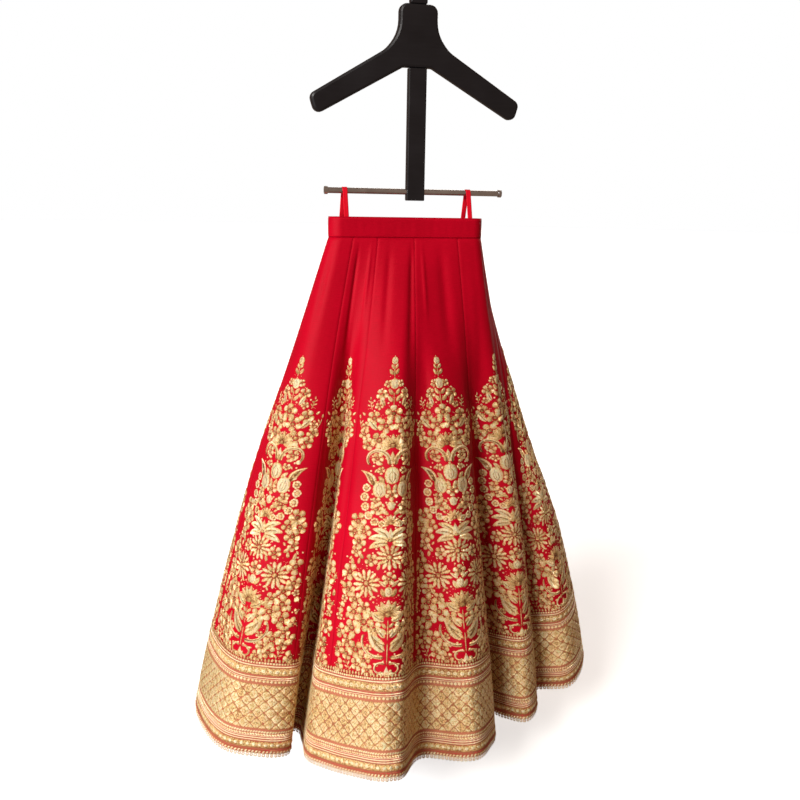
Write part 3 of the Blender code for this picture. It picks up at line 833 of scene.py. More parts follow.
class Needlework:
    """Shapes laid out flat in mm: x to the right, y up the skirt, height over the cloth."""

    def __init__(self, base, tone):
        self.base = base
        self.tone = tone
        self.way = 1
        self.laid = []
        self.covered = []

    def lay(self, shape, x, y, length, turn=0.0, bend=0.0, curl=0.0, fat=1.0, width=None,
            relief=1.2, lift=0.0, tone=0.0, fade=0.0):
        """Lays a shape from (x, y), heading turn degrees right of up; returns its far end.

        fade is how much darker its thread is where it starts than where it ends.
        """
        points, faces = shape
        width = length * fat if width is None else width
        headings = np.radians(self.way * (turn + bend * SPINE + curl * SPINE ** 2))
        steps = np.stack((np.sin(headings), np.cos(headings)), axis=1) * length / (len(SPINE) - 1)
        walk = np.zeros_like(steps)
        walk[1:] = np.cumsum((steps[1:] + steps[:-1]) / 2, axis=0)
        walk += (self.way * x, y)
        share = points[:, 1]
        heading = np.interp(share, SPINE, headings)
        aside = points[:, 0] * width
        flat = np.stack((np.interp(share, SPINE, walk[:, 0]) + aside * np.cos(heading),
                         np.interp(share, SPINE, walk[:, 1]) - aside * np.sin(heading),
                         self.base + lift + relief * points[:, 2]), axis=1)
        threads = np.stack((aside, share * length), axis=1) * MM
        # painted shade at the sunk rims and painted highlight on the crowns, from each point's relief
        shades = self.tone + tone + PAINTED_SHADE_PER_RELIEF * (points[:, 2] - UNSHADED_RELIEF) + fade * (share - 1)
        self.laid.append((flat, faces, threads, shades))
        stops = walk[::5]
        half = COVERED_SHARE * (np.abs(points[:, 0]).max() * width)
        self.covered.append(np.column_stack((stops, np.full(len(stops), half))))
        return self.way * walk[-1, 0], walk[-1, 1]

    def ring(self, shape, count, x, y, inner, length, turn=0.0, spread=360.0, **settings):
        """Lays copies of a shape in a fan about (x, y), each starting at the inner radius."""
        first = turn - spread / 2
        step = spread / count if spread == 360 else spread / (count - 1)
        for place in range(count):
            angle = first + step * place
            way = math.radians(angle)
            self.lay(shape, x + inner * math.sin(way), y + inner * math.cos(way), length,
                     turn=angle, **settings)

    def joined(self):
        """All points, faces, thread places and tones, with the laid shape each point is from."""
        counts = [len(flat) for flat, _, _, _ in self.laid]
        starts = np.concatenate(((0,), np.cumsum(counts)[:-1]))
        faces = [part[1] + start for part, start in zip(self.laid, starts)]
        owners = np.repeat(np.arange(len(counts)), counts)
        flat, _, threads, shades = (np.concatenate(kind) for kind in zip(*self.laid))
        return flat, np.concatenate(faces), threads, shades, owners


# Each motif takes its place in mm and its size, and some the way they head and how far they bend.

def blossom(work, x, y, size, turn=0.0):
    size = 1.38 * size
    work.ring(PETAL, 5, x, y, 0.18 * size, 0.84 * size, turn, fat=1.5, relief=1.5, tone=0.24,
              fade=0.55)
    work.lay(BOSS, x, y - 0.26 * size, 0.52 * size, relief=2.1, tone=-0.36)
    work.ring(BEAD, 5, x, y, 0.27 * size, 0.18 * size, turn + 36, relief=2.4, tone=0.25)


def daisy(work, x, y, size):
    work.ring(SLIM_PETAL, 13, x, y, 0.34 * size, 0.74 * size, fat=2.0, relief=1.4, tone=0.26,
              fade=0.2)
    work.ring(SLIM_PETAL, 9, x, y, 0.18 * size, 0.48 * size, fat=2.3, lift=0.8, tone=0.22,
              fade=0.3)
    work.ring(BEAD, 9, x, y, 0.22 * size, 0.13 * size, lift=0.9, relief=1.5, tone=0.3)
    work.lay(BOSS, x, y - 0.21 * size, 0.42 * size, relief=2.3, tone=-0.2)
    work.lay(BEAD, x, y - 0.08 * size, 0.16 * size, lift=1.8, tone=0.3)


def rosette(work, x, y, size):
    work.ring(KNOT, 8, x, y, 0.36 * size, 0.60 * size, fat=1.25, relief=1.4, tone=0.16)
    work.lay(BOSS, x, y - 0.52 * size, 1.04 * size, relief=2.1, tone=-0.1)
    work.ring(BEAD, 6, x, y, 0.20 * size, 0.16 * size, lift=1.2, tone=-0.3)


def leaf(work, x, y, size, turn=0.0, bend=0.0):
    work.lay(LONG_LEAF, x, y, size, turn, bend, fat=1.5, relief=1.5, tone=0.2)
    work.lay(SLIM_PETAL, x, y, 0.8 * size, turn, 0.8 * bend, fat=0.6, lift=0.6, tone=-0.3)


def broad_leaf(work, x, y, size, turn=0.0, bend=0.0):
    work.lay(LEAF, x, y, size, turn, bend, fat=1.25, relief=1.5, tone=0.2, fade=0.35)


def wing(work, x, y, size, turn=0.0, bend=0.0):
    work.lay(WING, x, y, size, turn, bend, relief=1.6, tone=0.16)
    work.lay(LONG_LEAF, x, y, 0.7 * size, turn, 0.7 * bend, fat=1.1, lift=0.8, tone=-0.4)


def stem(work, x, y, size):
    work.lay(CORD, x, y, size, width=2.6)


def scroll(work, x, y, size, turn=0.0, bend=0.0):
    work.lay(SCROLL, x, y, size, turn, 0.55 * bend, 0.45 * bend, relief=1.6, tone=0.16)
    end = work.lay(SCROLL, x, y, 0.98 * size, turn, 0.55 * bend, 0.45 * bend, fat=0.4,
                   lift=0.7, tone=-0.3)
    knob = 0.13 * size
    work.lay(BOSS, work.way * end[0], end[1] - knob / 2, knob, relief=2.0, tone=0.1)
    heading = math.radians(turn + 0.2 * bend)
    broad_leaf(work, x + 0.3 * size * math.sin(heading), y + 0.3 * size * math.cos(heading),
               0.3 * size, turn - math.copysign(38, bend), 0.3 * bend)


def palmette(work, x, y, size):
    work.ring(LEAF, 9, x, y, 0.10 * size, 0.92 * size, spread=224, fat=0.95, relief=1.5, tone=0.2,
              fade=0.4)
    work.ring(SLIM_PETAL, 8, x, y, 0.16 * size, 0.56 * size, spread=196, fat=1.1, lift=0.9,
              tone=0.1, fade=0.4)
    work.ring(BEAD, 8, x, y, 0.76 * size, 0.14 * size, spread=196, relief=1.7, tone=0.3)
    work.lay(BOSS, x, y - 0.2 * size, 0.42 * size, relief=2.2, tone=-0.35)


def bud(work, x, y, size, turn=0.0, bend=0.0):
    work.lay(OVAL, x, y, size, turn, bend, relief=1.6, tone=0.2)
    for rib in (-48, 0, 48):
        work.lay(GRAIN, x, y + 0.14 * size, 0.72 * size, turn + rib, -2 * rib, fat=0.2, lift=1.4,
                 relief=0.6)
    work.lay(BEAD, x, y + 0.92 * size, 0.16 * size, turn, relief=1.8, tone=0.2)


def sprig(work, x, y, size, turn=0.0, bend=0.0):
    work.lay(CORD, x, y, size, turn, bend, width=1.8)
    for share, lean in ((0.25, -50), (0.4, 50), (0.58, -44), (0.74, 44), (0.95, 0)):
        heading = math.radians(turn + bend * share / 2)
        work.lay(SHORT_LEAF, x + share * size * math.sin(heading),
                 y + share * size * math.cos(heading), 0.42 * size, turn + bend * share + lean,
                 tone=0.2, fade=0.3)


def fleur(work, x, y, size):
    work.lay(WING, x, y, size, fat=1.4, relief=1.6, tone=0.2)
    for lean in (-58, 58):
        work.lay(LONG_LEAF, x, y, 0.9 * size, lean, 0.7 * lean, fat=1.8, tone=0.15)
    work.lay(BOSS, x, y - 0.16 * size, 0.34 * size, relief=2.0, tone=-0.2)


def small_leaf(work, x, y, size, turn):
    work.lay(SHORT_LEAF, x, y - 5, size, turn, 20, fat=1.2, tone=0.15, fade=0.2)


def small_knot(work, x, y, size, turn):
    work.lay(KNOT, x, y - size / 2, size, turn, tone=0.15)


def sequin(work, x, y, size, turn):
    work.lay(BEAD, x, y - 0.6 * size, 1.3 * size, turn, tone=0.3)


# The motifs of one column, up from the border's top. Those off the middle line are on both sides.
COLUMN = (
    # motif, then for each place: x, y, size, and its turn and bend if it has them
    (fleur, (0, 4, 20)),
    (scroll, (3, 26, 46, 62, 270), (5, 40, 74, 98, -130)),
    (blossom, (37, 13, 9), (60, 22, 11, 20)),
    (broad_leaf, (50, 4, 17, -25, 30)),
    (sprig, (76, 3, 26, 12, 20)),
    (broad_leaf, (24, 3, 12, 30)),
    (stem, (0, 24, 44)),
    (leaf, (2, 62, 50, 74, -52), (2, 50, 64, 62, -66), (4, 76, 34, 38, -6)),
    (broad_leaf, (12, 62, 15, 20, 40)),
    (blossom, (63, 50, 14), (83, 40, 10, 30), (45, 32, 10, 10), (82, 66, 10)),
    (broad_leaf, (66, 72, 16, 60, 30)),
    (stem, (0, 70, 44)),
    (broad_leaf, (1, 84, 17, 48, -20), (1, 96, 15, 52, -20)),
    (palmette, (0, 122, 31)),
    (leaf, (4, 110, 36, 84, -60)),
    (blossom, (24, 94, 12), (47, 106, 15, 14), (72, 92, 14), (68, 124, 13, 36), (46, 134, 10)),
    (broad_leaf, (84, 108, 17, 0, -40), (30, 116, 19, 20, 50)),
    (daisy, (43, 182, 28)),
    (bud, (0, 156, 22)),
    (broad_leaf, (3, 156, 22, 50, -40)),
    (leaf, (4, 176, 20, 40, 20)),
    (blossom, (0, 192, 10, 36), (66, 150, 11), (82, 168, 12, 20), (79, 202, 14)),
    (broad_leaf, (72, 214, 18, 20, -30), (62, 218, 15, -30, 30)),
    (daisy, (0, 234, 26)),
    (blossom, (34, 228, 10)),
    (broad_leaf, (50, 228, 18, 30, 30), (22, 208, 14, -20)),
    (blossom, (66, 244, 9)),
    (leaf, (2, 260, 42, 76, 60), (2, 264, 44, 50, 66), (2, 268, 42, 24, 70)),
    (fleur, (0, 266, 26)),
    (blossom, (60, 264, 12), (70, 284, 12, 30), (50, 284, 11), (62, 304, 13, 10)),
    (palmette, (0, 300, 18)),
    (rosette, (16, 299, 8), (30, 303, 9), (42, 316, 9.5), (49, 333, 10), (51, 352, 10),
     (47, 370, 9.5), (38, 386, 8)),
    (broad_leaf, (22, 318, 18, -60, 20), (4, 316, 18, 50, 10)),
    (blossom, (26, 328, 10, 20)),
    (bud, (0, 324, 20), (20, 348, 38, 10, -14)),
    (blossom, (28, 342, 8), (0, 356, 9)),
    (broad_leaf, (3, 362, 17, 16)),
    (bud, (0, 374, 39)),
    (broad_leaf, (14, 378, 20, 24, 30)),
    (wing, (32, 374, 46, 12, 64)),
    (stem, (0, 412, 26)),
    (fleur, (0, 424, 18)),
    (scroll, (5, 414, 84, -4, 236)),
    (blossom, (27, 428, 9)),
    (broad_leaf, (16, 416, 14, 80, 20)),
    (palmette, (0, 452, 25)),
    (blossom, (25, 464, 13), (46, 456, 10, 20), (14, 492, 12), (0, 516, 13, 36), (54, 476, 9),
     (36, 508, 11)),
    (leaf, (28, 484, 34, 50, -30), (16, 530, 26, 30, -20)),
    (sprig, (58, 484, 24, 30, -30), (40, 524, 20, 20, -20)),
    (stem, (0, 526, 34)),
    (broad_leaf, (2, 538, 18, 46, -20)),
    (blossom, (22, 554, 9)),
    (broad_leaf, (2, 552, 17, 40, -20)),
    (bud, (0, 562, 24)),
    (stem, (0, 586, 26)),
    (broad_leaf, (1, 592, 16, 40, -20), (1, 604, 13, 36, -20)),
    (bud, (0, 612, 18)),
    (blossom, (106, 14, 12), (127, 30, 10, 30), (107, 46, 13, 10)),
    (broad_leaf, (120, 56, 18, 20, -30), (94, 50, 15, -30, 30)),
    (blossom, (102, 84, 12), (124, 88, 10, 20)),
    (broad_leaf, (112, 100, 18, -16, 30)),
    (blossom, (105, 132, 12, 36), (122, 128, 8)),
    (broad_leaf, (104, 146, 17, 8, -30)),
    (blossom, (104, 180, 9)),
    (sprig, (92, 176, 24, 16, 20)),
)

# Half the width of the work, in mm, at heights above the border.
WORK_EDGE = ((0, 130), (60, 130), (110, 124), (170, 112), (215, 94), (250, 78), (300, 74), (318, 52),
             (350, 60), (385, 50), (410, 44), (446, 40), (460, 62), (500, 60), (540, 44),
             (560, 28), (580, 8), (640, 5))

# What fills the room between the motifs, and the least gap that it keeps from them.
FILLERS = (
    # motif, size, gap
    (blossom, 6.0, 4.2),
    (small_leaf, 11.0, 2.3),
    (small_knot, 4.8, 1.4),
    (sequin, 1.7, 0.8),
)
FILL_TRIES = 900
FILL_LOW = 3
FILL_HIGH = 590
FILL_INSIDE = 2
FILL_TURN = 80


def on_both_sides(work, motif, x, *place):
    """Lays a motif, and its mirror image as well where it is off the middle line."""
    for work.way in (1, -1) if x > 0 else (1,):
        motif(work, x, *place)
    work.way = 1


def fill_between(work):
    """Sews small flowers, leaves, knots and sequins where the motifs leave room."""
    chance = np.random.default_rng(SEED)
    heights, halves = np.array(WORK_EDGE, dtype=float).T
    for motif, size, gap in FILLERS:
        for _ in range(FILL_TRIES):
            y = chance.uniform(FILL_LOW, FILL_HIGH)
            x = chance.uniform(FILL_INSIDE, np.interp(y, heights, halves))
            turn = chance.uniform(-FILL_TURN, FILL_TURN)
            covered = np.concatenate(work.covered)
            away = np.hypot(covered[:, 0] - x, covered[:, 1] - y) - covered[:, 2]
            if away.min() >= gap:
                on_both_sides(work, motif, x, y, size, turn)


def column_work():
    work = Needlework(base=0.75, tone=0.70)
    for motif, *places in COLUMN:
        for place in places:
            on_both_sides(work, motif, *place)
    fill_between(work)
    return work


# ---- the border's goldwork ----

CELL = 24.25
LATTICE_TOP = 45.0
LATTICE_ROWS = 4
RED_THREAD = -0.7
# Cords along the border: how far below its top and how thick, in mm.
GOLD_CORDS = ((7.7, 3.2), (31.9, 3.0), (35.8, 1.6), (155.6, 1.6), (159.3, 3.0), (163.8, 2.4))
RED_CORDS = ((5.2, 1.8), (29.4, 1.8), (34.3, 1.8), (157.1, 1.8), (161.7, 1.8), (184.4, 2.6),
             (188.9, 5.6))
UPPER_BAND = 18.7
LOWER_BAND = 173.5
ROPE = 188.9
SEQUIN_PITCH = 13.6
LOWER_SEQUIN_PITCH = 11.2
TWIST_PITCH = 5.0
LOOP_PITCH = 7.4


def across(work, width, below, thread, shape=LONG_CORD, **settings):
    """A straight cord or band all the way across at a depth below the border's top."""
    work.lay(shape, 0.0, -below, width, turn=90, width=thread, **settings)


def repeat(work, shape, width, pitch, below, length, offset=0.5, **settings):
    """A row of one shape at about this pitch, each centred on its place."""
    count = round(width / pitch)
    turn = math.radians(settings.get("turn", 0.0))
    for place in range(count):
        x = (place + offset) * width / count
        work.lay(shape, x - length / 2 * math.sin(turn), -below - length / 2 * math.cos(turn),
                 length, **settings)


def diamond(work, x, below):
    size = CELL + 0.8
    work.lay(PILLOW, x, -below - size / 2, size, relief=1.4)
    work.lay(BEAD, x, -below - 2.0, 4.0, lift=1.2, relief=1.1, tone=0.3)
    for aside, up in ((-5.2, 0), (5.2, 0), (0, 5.2), (0, -5.2)):
        work.lay(BEAD, x + aside, -below + up - 1.3, 2.6, lift=1.0, relief=0.8, tone=0.22)


def half_diamond(work, x, below, turn):
    work.lay(HALF_PILLOW, x, -below, CELL / 2 - 0.4, turn, width=CELL - 0.6, relief=1.4, tone=0.05)


def border_work(cells):
    """Goldwork of one panel's border, in mm from its left seam and up from its top."""
    work = Needlework(base=1.95, tone=0.73)
    width = cells * CELL
    repeat(work, SHORT_LEAF, width, 7.2, -4.6, 8.4, fat=1.4, tone=0.16, fade=0.3)
    repeat(work, KNOT, width, 5.6, 2.0, 5.6, relief=1.3, tone=0.2)
    for below, thread in GOLD_CORDS:
        across(work, width, below, thread, relief=1.0, tone=0.45)
    for below, thread in RED_CORDS:
        across(work, width, below, thread, relief=0.7, tone=RED_THREAD)
    repeat(work, GRAIN, width, 6.4, ROPE, 7.6, turn=48, fat=1.3, lift=0.3, relief=1.4, tone=0.4)
    across(work, width, UPPER_BAND, 19.4, shape=BAND, relief=0.55, tone=-0.3)
    repeat(work, BOSS, width, SEQUIN_PITCH, UPPER_BAND, 9.4, lift=0.5, relief=1.3, tone=0.3)
    repeat(work, BEAD, width, SEQUIN_PITCH, UPPER_BAND, 3.4, lift=1.6, relief=0.8, tone=-0.2)
    for shape, below, length, tone in ((BEAD, 12.6, 3.6, 0.2), (KNOT, 19.0, 4.4, 0.1),
                                       (BEAD, 24.8, 3.6, 0.2)):
        repeat(work, shape, width, SEQUIN_PITCH, below, length, 0.0, lift=0.5, relief=0.9, tone=tone)
    repeat(work, KNOT, width, 7.6, 40.0, 7.6, relief=1.2, tone=0.14)
    for column in range(cells):
        for row in range(LATTICE_ROWS):
            below = LATTICE_TOP + CELL * row
            diamond(work, CELL * (column + 0.5), below + CELL / 2)
            if row > 0:
                diamond(work, CELL * (column + 1), below)
        half_diamond(work, CELL * (column + 1), LATTICE_TOP + 0.8, 180)
        half_diamond(work, CELL * (column + 1), LATTICE_TOP + CELL * LATTICE_ROWS - 0.8, 0)
    for below, turn, tone in ((146.6, 52, 0.34), (152.2, -52, 0.26)):
        repeat(work, GRAIN, width, TWIST_PITCH, below, 8.0, turn=turn, fat=1.3, relief=1.3, tone=tone)
    across(work, width, LOWER_BAND, 16.6, shape=BAND, relief=0.55, tone=-0.3)
    repeat(work, BOSS, width, LOWER_SEQUIN_PITCH, LOWER_BAND, 8.0, lift=0.5, relief=1.2, tone=0.3)
    repeat(work, BEAD, width, LOWER_SEQUIN_PITCH, LOWER_BAND, 3.4, 0.0, lift=0.5, relief=1.0,
           tone=0.25)
    return work


def lace_work(cells):
    """Looped lace that hangs below the hem, with a cord along its top."""
    work = Needlework(base=0.55, tone=0.95)
    width = cells * CELL
    hem = 1000 * BORDER_HEIGHT
    across(work, width, hem + 0.6, 3.0, relief=1.0, tone=0.2)
    count = round(width / LOOP_PITCH)
    for place in range(count):
        x = (place + 0.5) * width / count
        work.lay(LACE_LOOP, x, -hem - 0.6, 8.6, turn=180, width=6.4, relief=0.9)
        work.lay(BEAD, x, -hem - 9.0, 4.0, relief=1.5, tone=0.3)
    return work


# ---- the skirt ----

SILK_HEIGHT = 0.9 * MM
TISSUE_HEIGHT = 2.1 * MM
SILK_WALL = 0.8 * MM
SILK_DIP = 0.8 * MM
BORDER_DIP = 0.2 * MM
SILK_TUCK = 0.004
SEAM_WIDTH = 2.0 * MM
WORK_LIMIT = 0.975
WAIST_TUCK = 0.0034
TUCK_DIP = 0.5 * MM
EVEN_COLUMNS = 37
NEAR_SEAM = np.array((0.0, 0.006, 0.016, 0.03))
SILK_ROWS = 76
GROUND_ROWS = 11
GROUND_FOOT = 0.9998
FLOWER_STRAY = 0.7
GOLDWORK_STRAY = 0.15
LACE_STRAY = 0.2
THREAD_SPREAD = 0.09
CELLS = {kali.letter: round(1000 * float(kali.width(np.array([BORDER_TOP]))[0]) / CELL)
         for kali in KALIS}


def cloth_strip(name, kali, top, foot, rows, height, finish, dip):
    """A panel's cloth from one fall to another, dipping into the seams at its sides."""
    even = np.linspace(0, 1, EVEN_COLUMNS)[2:-2]
    shares = np.unique(np.concatenate((even, NEAR_SEAM, 1 - NEAR_SEAM)))
    share, fall = np.meshgrid(shares, np.linspace(top, foot, rows))
    share, fall = share.ravel(), fall.ravel()
    across, side = kali.across(share, fall)
    edge = np.minimum(share, 1 - share) * kali.width(fall)
    lift = height - dip * np.exp(-(edge / SEAM_WIDTH) ** 2) - TUCK_DIP * (fall < 0)
    points = kali.place(side, fall, lift)
    maps = np.stack((across, -fall * KALI_LENGTH), axis=1)
    piece = new_piece(f"{name}_{kali.letter}", points, grid_faces(rows, len(shares)), finish, maps)
    give_wall(piece, SILK_WALL)
    return piece


def clear_of_seams(joined, sides):
    """Leaves out the shapes that would reach over a seam."""
    flat, faces, threads, shades, owners = joined
    reach = np.zeros(owners.max() + 1)
    np.maximum.at(reach, owners, np.abs(sides))
    kept = reach[owners] < WORK_LIMIT
    renumbered = np.cumsum(kept) - 1
    faces = renumbered[faces[kept[faces[:, 0]]]]
    return flat[kept], faces, threads[kept], shades[kept], owners[kept]


def sewn(name, kali, joined, place, scale, finish, stray):
    """Needlework on one panel; stray, in mm, is how far the hand is off the pattern.

    place puts its flat points on the cloth, once scale has turned them from mm into its units.
    """
    flat, faces, threads, shades, owners = joined
    chance = np.random.default_rng(SEED + kali.index)
    moved = flat.copy()
    moved[:, :2] += chance.uniform(-stray, stray, (owners.max() + 1, 2))[owners]
    spread = chance.uniform(-THREAD_SPREAD, THREAD_SPREAD, owners.max() + 1)[owners]
    return new_piece(f"{name}_{kali.letter}", place(moved * scale), faces, finish, threads,
                     shades + spread)


def build_skirt():
    column = column_work().joined()
    borders = {cells: border_work(cells).joined() for cells in sorted(set(CELLS.values()))}
    laces = {cells: lace_work(cells).joined() for cells in borders}
    pieces = []
    for kali in KALIS:
        cells = CELLS[kali.letter]
        strip = (1 / (cells * CELL), MM, MM)
        silk = cloth_strip("silk", kali, -WAIST_TUCK, BORDER_TOP + SILK_TUCK, SILK_ROWS, SILK_HEIGHT,
                           RED_SILK, SILK_DIP)
        fitting = clear_of_seams(column, kali.column_side(column[0] * MM))
        flowers = sewn("flowers", kali, fitting, kali.place_column, MM, ZARI, FLOWER_STRAY)
        ground = cloth_strip("border_ground", kali, BORDER_TOP, GROUND_FOOT, GROUND_ROWS,
                             TISSUE_HEIGHT, TISSUE, BORDER_DIP)
        goldwork = sewn("goldwork", kali, borders[cells], kali.place_strip, strip, BORDER_ZARI,
                        GOLDWORK_STRAY)
        lace = sewn("hem_lace", kali, laces[cells], kali.place_strip, strip, LACE_ZARI, LACE_STRAY)
        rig.replaces(silk, f"kali_{kali.letter}")
        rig.replaces(ground, f"border_{kali.letter}")
        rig.replaces(lace, "hem_lace")
        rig.slot(silk, "red_silk")
        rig.slot(flowers, "gold_zari_border")
        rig.slot(ground, "gold_zari_border")
        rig.slot(goldwork, "gold_zari_border")
        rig.slot(lace, "pale_gold_lace")
        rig.sheet(silk, held="hung", rests_on=["waistband_silk"], with_pieces=[flowers],
                 **kali.cut(0.0, BORDER_TOP))
        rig.sheet(ground, held="hung", rests_on=[silk.name], with_pieces=[goldwork, lace],
                 **kali.cut(BORDER_TOP, 1.0))
        pieces += [silk, flowers, ground, goldwork, lace]
    return pieces


# ---- the waistband and its loops ----

# The band, in mm: up from the waist seam, and out from the middle of the cloth wall.
BAND_FOOT = 0.8
BAND_TOP = 42.0
BAND_START = -0.012
BAND_END_GAP = 0.15
BAND_HEIGHT = 1.15
BAND_EDGE_DIP = 0.5
BAND_EDGE_WIDTH = 1.2
BAND_PULL = 0.16
BAND_WALL = 2.2 * MM
BAND_GIRTH = 1000 * (4 * (WAIST_HALF_WIDTH - WAIST_HALF_DEPTH) + 2 * math.pi * WAIST_HALF_DEPTH)
BAND_COLUMNS = 236
BAND_ROWS = 9
STITCH_ROWS = (4.0, 38.5)
STITCH_STEP = 3.6
STITCH_LENGTH = 2.9
STITCH_WIDTH = 1.6
BAR_RISE = 0.094
LOOP_ACROSS = 0.132
LOOP_WIDTH = 0.010
LOOP_FOOT = 0.020
LOOP_STAND = 0.044
LOOP_LEG = 0.0214
LOOP_OVER = 0.0073
RIBBON_WALL = 0.8 * MM
RIBBON_COLUMNS = 7


def place_band(flat):
    """Flat places (mm round from the band's end, mm up, mm out) on the slightly pulled band."""
    share = BAND_START + flat[:, 0] / BAND_GIRTH
    point = waist_point(share)
    along = waist_point(share + 0.001) - waist_point(share - 0.001)
    along /= np.linalg.norm(along, axis=1, keepdims=True)
    rise = flat[:, 1] / (BAND_TOP - BAND_FOOT)
    waves = np.sin(flat[:, 0] * 0.31) * np.sin(flat[:, 0] * 0.083 + 1.0) * np.sin(3.1 * rise)
    out = (flat[:, 2] + BAND_PULL * waves) * MM
    return np.stack((point[:, 0] + SKIRT_SHIFT + along[:, 1] * out,
                     point[:, 1] - along[:, 0] * out, flat[:, 1] * MM - WAIST_DROP), axis=1)


def build_waistband():
    round_way, up = np.meshgrid(np.linspace(BAND_END_GAP, BAND_GIRTH - BAND_END_GAP, BAND_COLUMNS),
                                np.linspace(BAND_TOP, BAND_FOOT, BAND_ROWS))
    edge = np.minimum(up - BAND_FOOT, BAND_TOP - up)
    height = BAND_HEIGHT - BAND_EDGE_DIP * np.exp(-edge / BAND_EDGE_WIDTH)
    flat = np.stack((round_way, up, height), axis=-1).reshape(-1, 3)
    band = new_piece("waistband_silk", place_band(flat), grid_faces(BAND_ROWS, BAND_COLUMNS),
                     RED_SILK, flat[:, :2] * MM)
    give_wall(band, BAND_WALL)
    work = Needlework(base=1.0, tone=0.5)
    for up in STITCH_ROWS:
        for start in np.arange(1.5, BAND_GIRTH - 4, STITCH_STEP):
            work.lay(GRAIN, start, up, STITCH_LENGTH, turn=90, width=STITCH_WIDTH, relief=0.35)
    flat, faces, threads, shades, _ = work.joined()
    stitches = new_piece("waistband_stitches", place_band(flat), faces, RED_RIBBON, threads, shades)
    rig.replaces(band, "waistband")
    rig.slot(band, "red_silk")
    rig.slot(stitches, "red_silk")
    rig.sheet(band, flat=(BAND_GIRTH * MM, (BAND_TOP - BAND_FOOT) * MM), held="stretched",
             rests_on=["hanging_loop_ribbon_left", "hanging_loop_ribbon_right"],
             with_pieces=[stitches])
    return [band, stitches]


def ribbon_route():
    """The loop's middle line from the side: up inside the band, over the bar and down."""
    lean = math.asin((LOOP_LEG - LOOP_OVER) / (BAR_RISE - BAND_TOP * MM))
    angles = np.linspace(math.pi - lean, lean, 25)
    arch = np.stack((LOOP_OVER * np.cos(angles), BAR_RISE + LOOP_OVER * np.sin(angles)), axis=1)
    foot = np.array(((-LOOP_LEG, LOOP_FOOT), (-LOOP_LEG, LOOP_STAND - 0.004),
                     (-LOOP_LEG, LOOP_STAND)))
    rise = foot[-1] + (arch[0] - foot[-1]) * np.linspace(0.12, 0.9, 9)[:, None]
    half = np.concatenate((foot, rise))
    return np.concatenate((half, arch, half[::-1] * (-1, 1)))


def build_ribbon(side, across_middle):
    """A hanging loop: one ribbon, slightly hollow along its middle."""
    route = ribbon_route()
    along = np.gradient(route, axis=0)
    along /= np.linalg.norm(along, axis=1, keepdims=True)
    inwards = np.stack((along[:, 1], -along[:, 0]), axis=1)
    walk = np.concatenate(((0.0,), np.cumsum(np.linalg.norm(np.diff(route, axis=0), axis=1))))
    points, maps = [], []
    for point, inward, far in zip(route, inwards, walk):
        for column in np.linspace(-1, 1, RIBBON_COLUMNS):
            dip = (0.10 + 0.08 * math.cos(column * math.pi)) * MM
            flat = point + inward * dip
            points.append((SKIRT_SHIFT + across_middle + column * LOOP_WIDTH / 2, flat[0],
                           flat[1] - WAIST_DROP))
            maps.append((column * LOOP_WIDTH / 2, far))
    faces = grid_faces(len(route), RIBBON_COLUMNS)[:, ::-1]
    ribbon = new_piece(f"hanging_loop_ribbon_{side}", np.array(points), faces, RED_RIBBON,
                       np.array(maps))
    give_wall(ribbon, RIBBON_WALL)
    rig.replaces(ribbon, f"hanging_loop_{side}")
    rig.slot(ribbon, "red_ribbon")
    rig.sheet(ribbon, flat=(LOOP_WIDTH, float(walk[-1])), held="hung", rests_on=["lower_bar"])
    return ribbon


# ---- the object, the floor and the light ----

pieces = build_skirt() + build_waistband()
pieces += [build_ribbon("left", -LOOP_ACROSS), build_ribbon("right", LOOP_ACROSS)]
for piece in pieces:
    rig.ride(piece, "root")

for node, finish in (("hanger_body", LACQUER), ("hanger_post", LACQUER),
                     ("hook_collar", LACQUER), ("lower_bar", STEEL), ("hook", STEEL)):
    part = frame["nodes"][node]
    for material_slot in part.material_slots:
        material_slot.material = finish


def hang_light(name, kind, place, target, power, colour, **settings):
    light = bpy.data.lights.new(name, kind)
    light.energy = power
    light.color = colour
    for setting, value in settings.items():
        setattr(light, setting, value)
    lamp = bpy.data.objects.new(name, light)
    lamp.location = place
    lamp.rotation_euler = (Vector(place) - Vector(target)).to_track_quat("Z", "Y").to_euler()
    bpy.context.scene.collection.objects.link(lamp)


def lay_floor():
    deselect_all()
    bpy.ops.mesh.primitive_circle_add(vertices=96, radius=60.0, fill_type="TRIFAN",
                                      location=(0.0, 0.0, FLOOR_LEVEL))
    floor = bpy.context.object
    floor.name = "floor"
    paint = Finish("pale_floor", Roughness=0.7, Specular_IOR_Level=0.2, Emission_Strength=0.5,
                   Emission_Color=(1.0, 1.0, 1.0, 1.0))
    cloud = paint.noise(paint.place(), 1.6, 3.0)
    paint.feed("Base Color", paint.mixed(cloud, (0.91, 0.91, 0.91), (0.94, 0.94, 0.94)))
    floor.data.materials.append(paint.material)
    floor.visible_diffuse = False
    floor.visible_glossy = False
    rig.stage(floor)


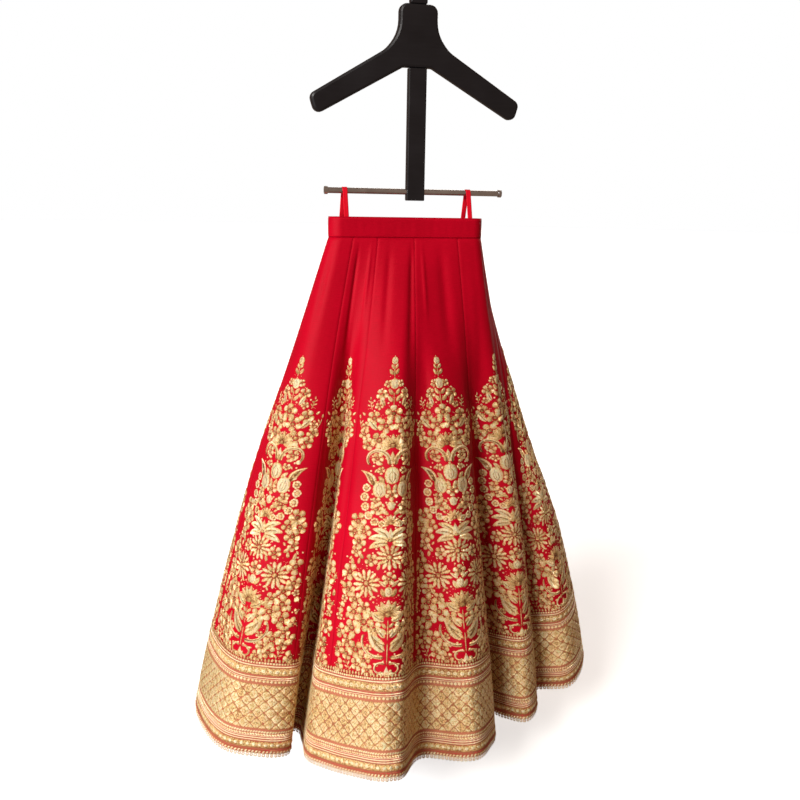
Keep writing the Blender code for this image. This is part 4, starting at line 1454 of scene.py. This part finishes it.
def light_room():
    """A pale backdrop that gives only a weak warm light."""
    room = bpy.data.worlds.new("studio")
    bpy.context.scene.world = room
    room.use_nodes = True
    tree = room.node_tree
    glow = tree.nodes["Background"]
    glow.inputs["Color"].default_value = (*ROOM_COLOUR, 1.0)
    glow.inputs["Strength"].default_value = ROOM_LIGHT
    backdrop = tree.nodes.new("ShaderNodeBackground")
    backdrop.inputs["Color"].default_value = (1.0, 1.0, 1.0, 1.0)
    seen = tree.nodes.new("ShaderNodeLightPath")
    either = tree.nodes.new("ShaderNodeMixShader")
    tree.links.new(seen.outputs["Is Camera Ray"], either.inputs["Fac"])
    tree.links.new(glow.outputs["Background"], either.inputs[1])
    tree.links.new(backdrop.outputs["Background"], either.inputs[2])
    tree.links.new(either.outputs["Shader"], tree.nodes["World Output"].inputs["Surface"])


FLOOR_LEVEL = -1.78
ROOM_LIGHT = 0.23
ROOM_COLOUR = (1.0, 0.68, 0.50)
SKIRT_MIDDLE = (0.0, 0.0, -1.1)
HEM_LEFT = (-0.35, -0.1, -1.3)
lay_floor()
light_room()
hang_light("window", "SUN", (-2.6, -2.75, 0.9), SKIRT_MIDDLE, 3.7, (1.0, 0.98, 0.94),
           angle=math.radians(18))
hang_light("left_softbox", "AREA", (-1.9, -0.9, -0.8), HEM_LEFT, 36.0, (0.86, 0.93, 1.0),
           shape="DISK", size=0.6)
hang_light("far_window", "SUN", (2.4, 3.0, 0.2), SKIRT_MIDDLE, 1.5, (1.0, 0.95, 0.88),
           angle=math.radians(50))

camera_data = bpy.data.cameras.new("camera")
camera_data.lens = 45.0
camera_data.sensor_width = 36.0
camera = bpy.data.objects.new("camera", camera_data)
camera.location = (-0.6201, -2.0127, -0.508)
camera.rotation_euler = tuple(math.radians(angle) for angle in (78.964, -0.982, -16.309))
bpy.context.scene.collection.objects.link(camera)
scene = bpy.context.scene
scene.camera = camera
scene.view_settings.view_transform = "Standard"

Path("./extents.json").write_text(json.dumps({
    "cad": [list(corner) for corner in cad_box],
    "visual": [list(corner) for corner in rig.bounds()],
}))
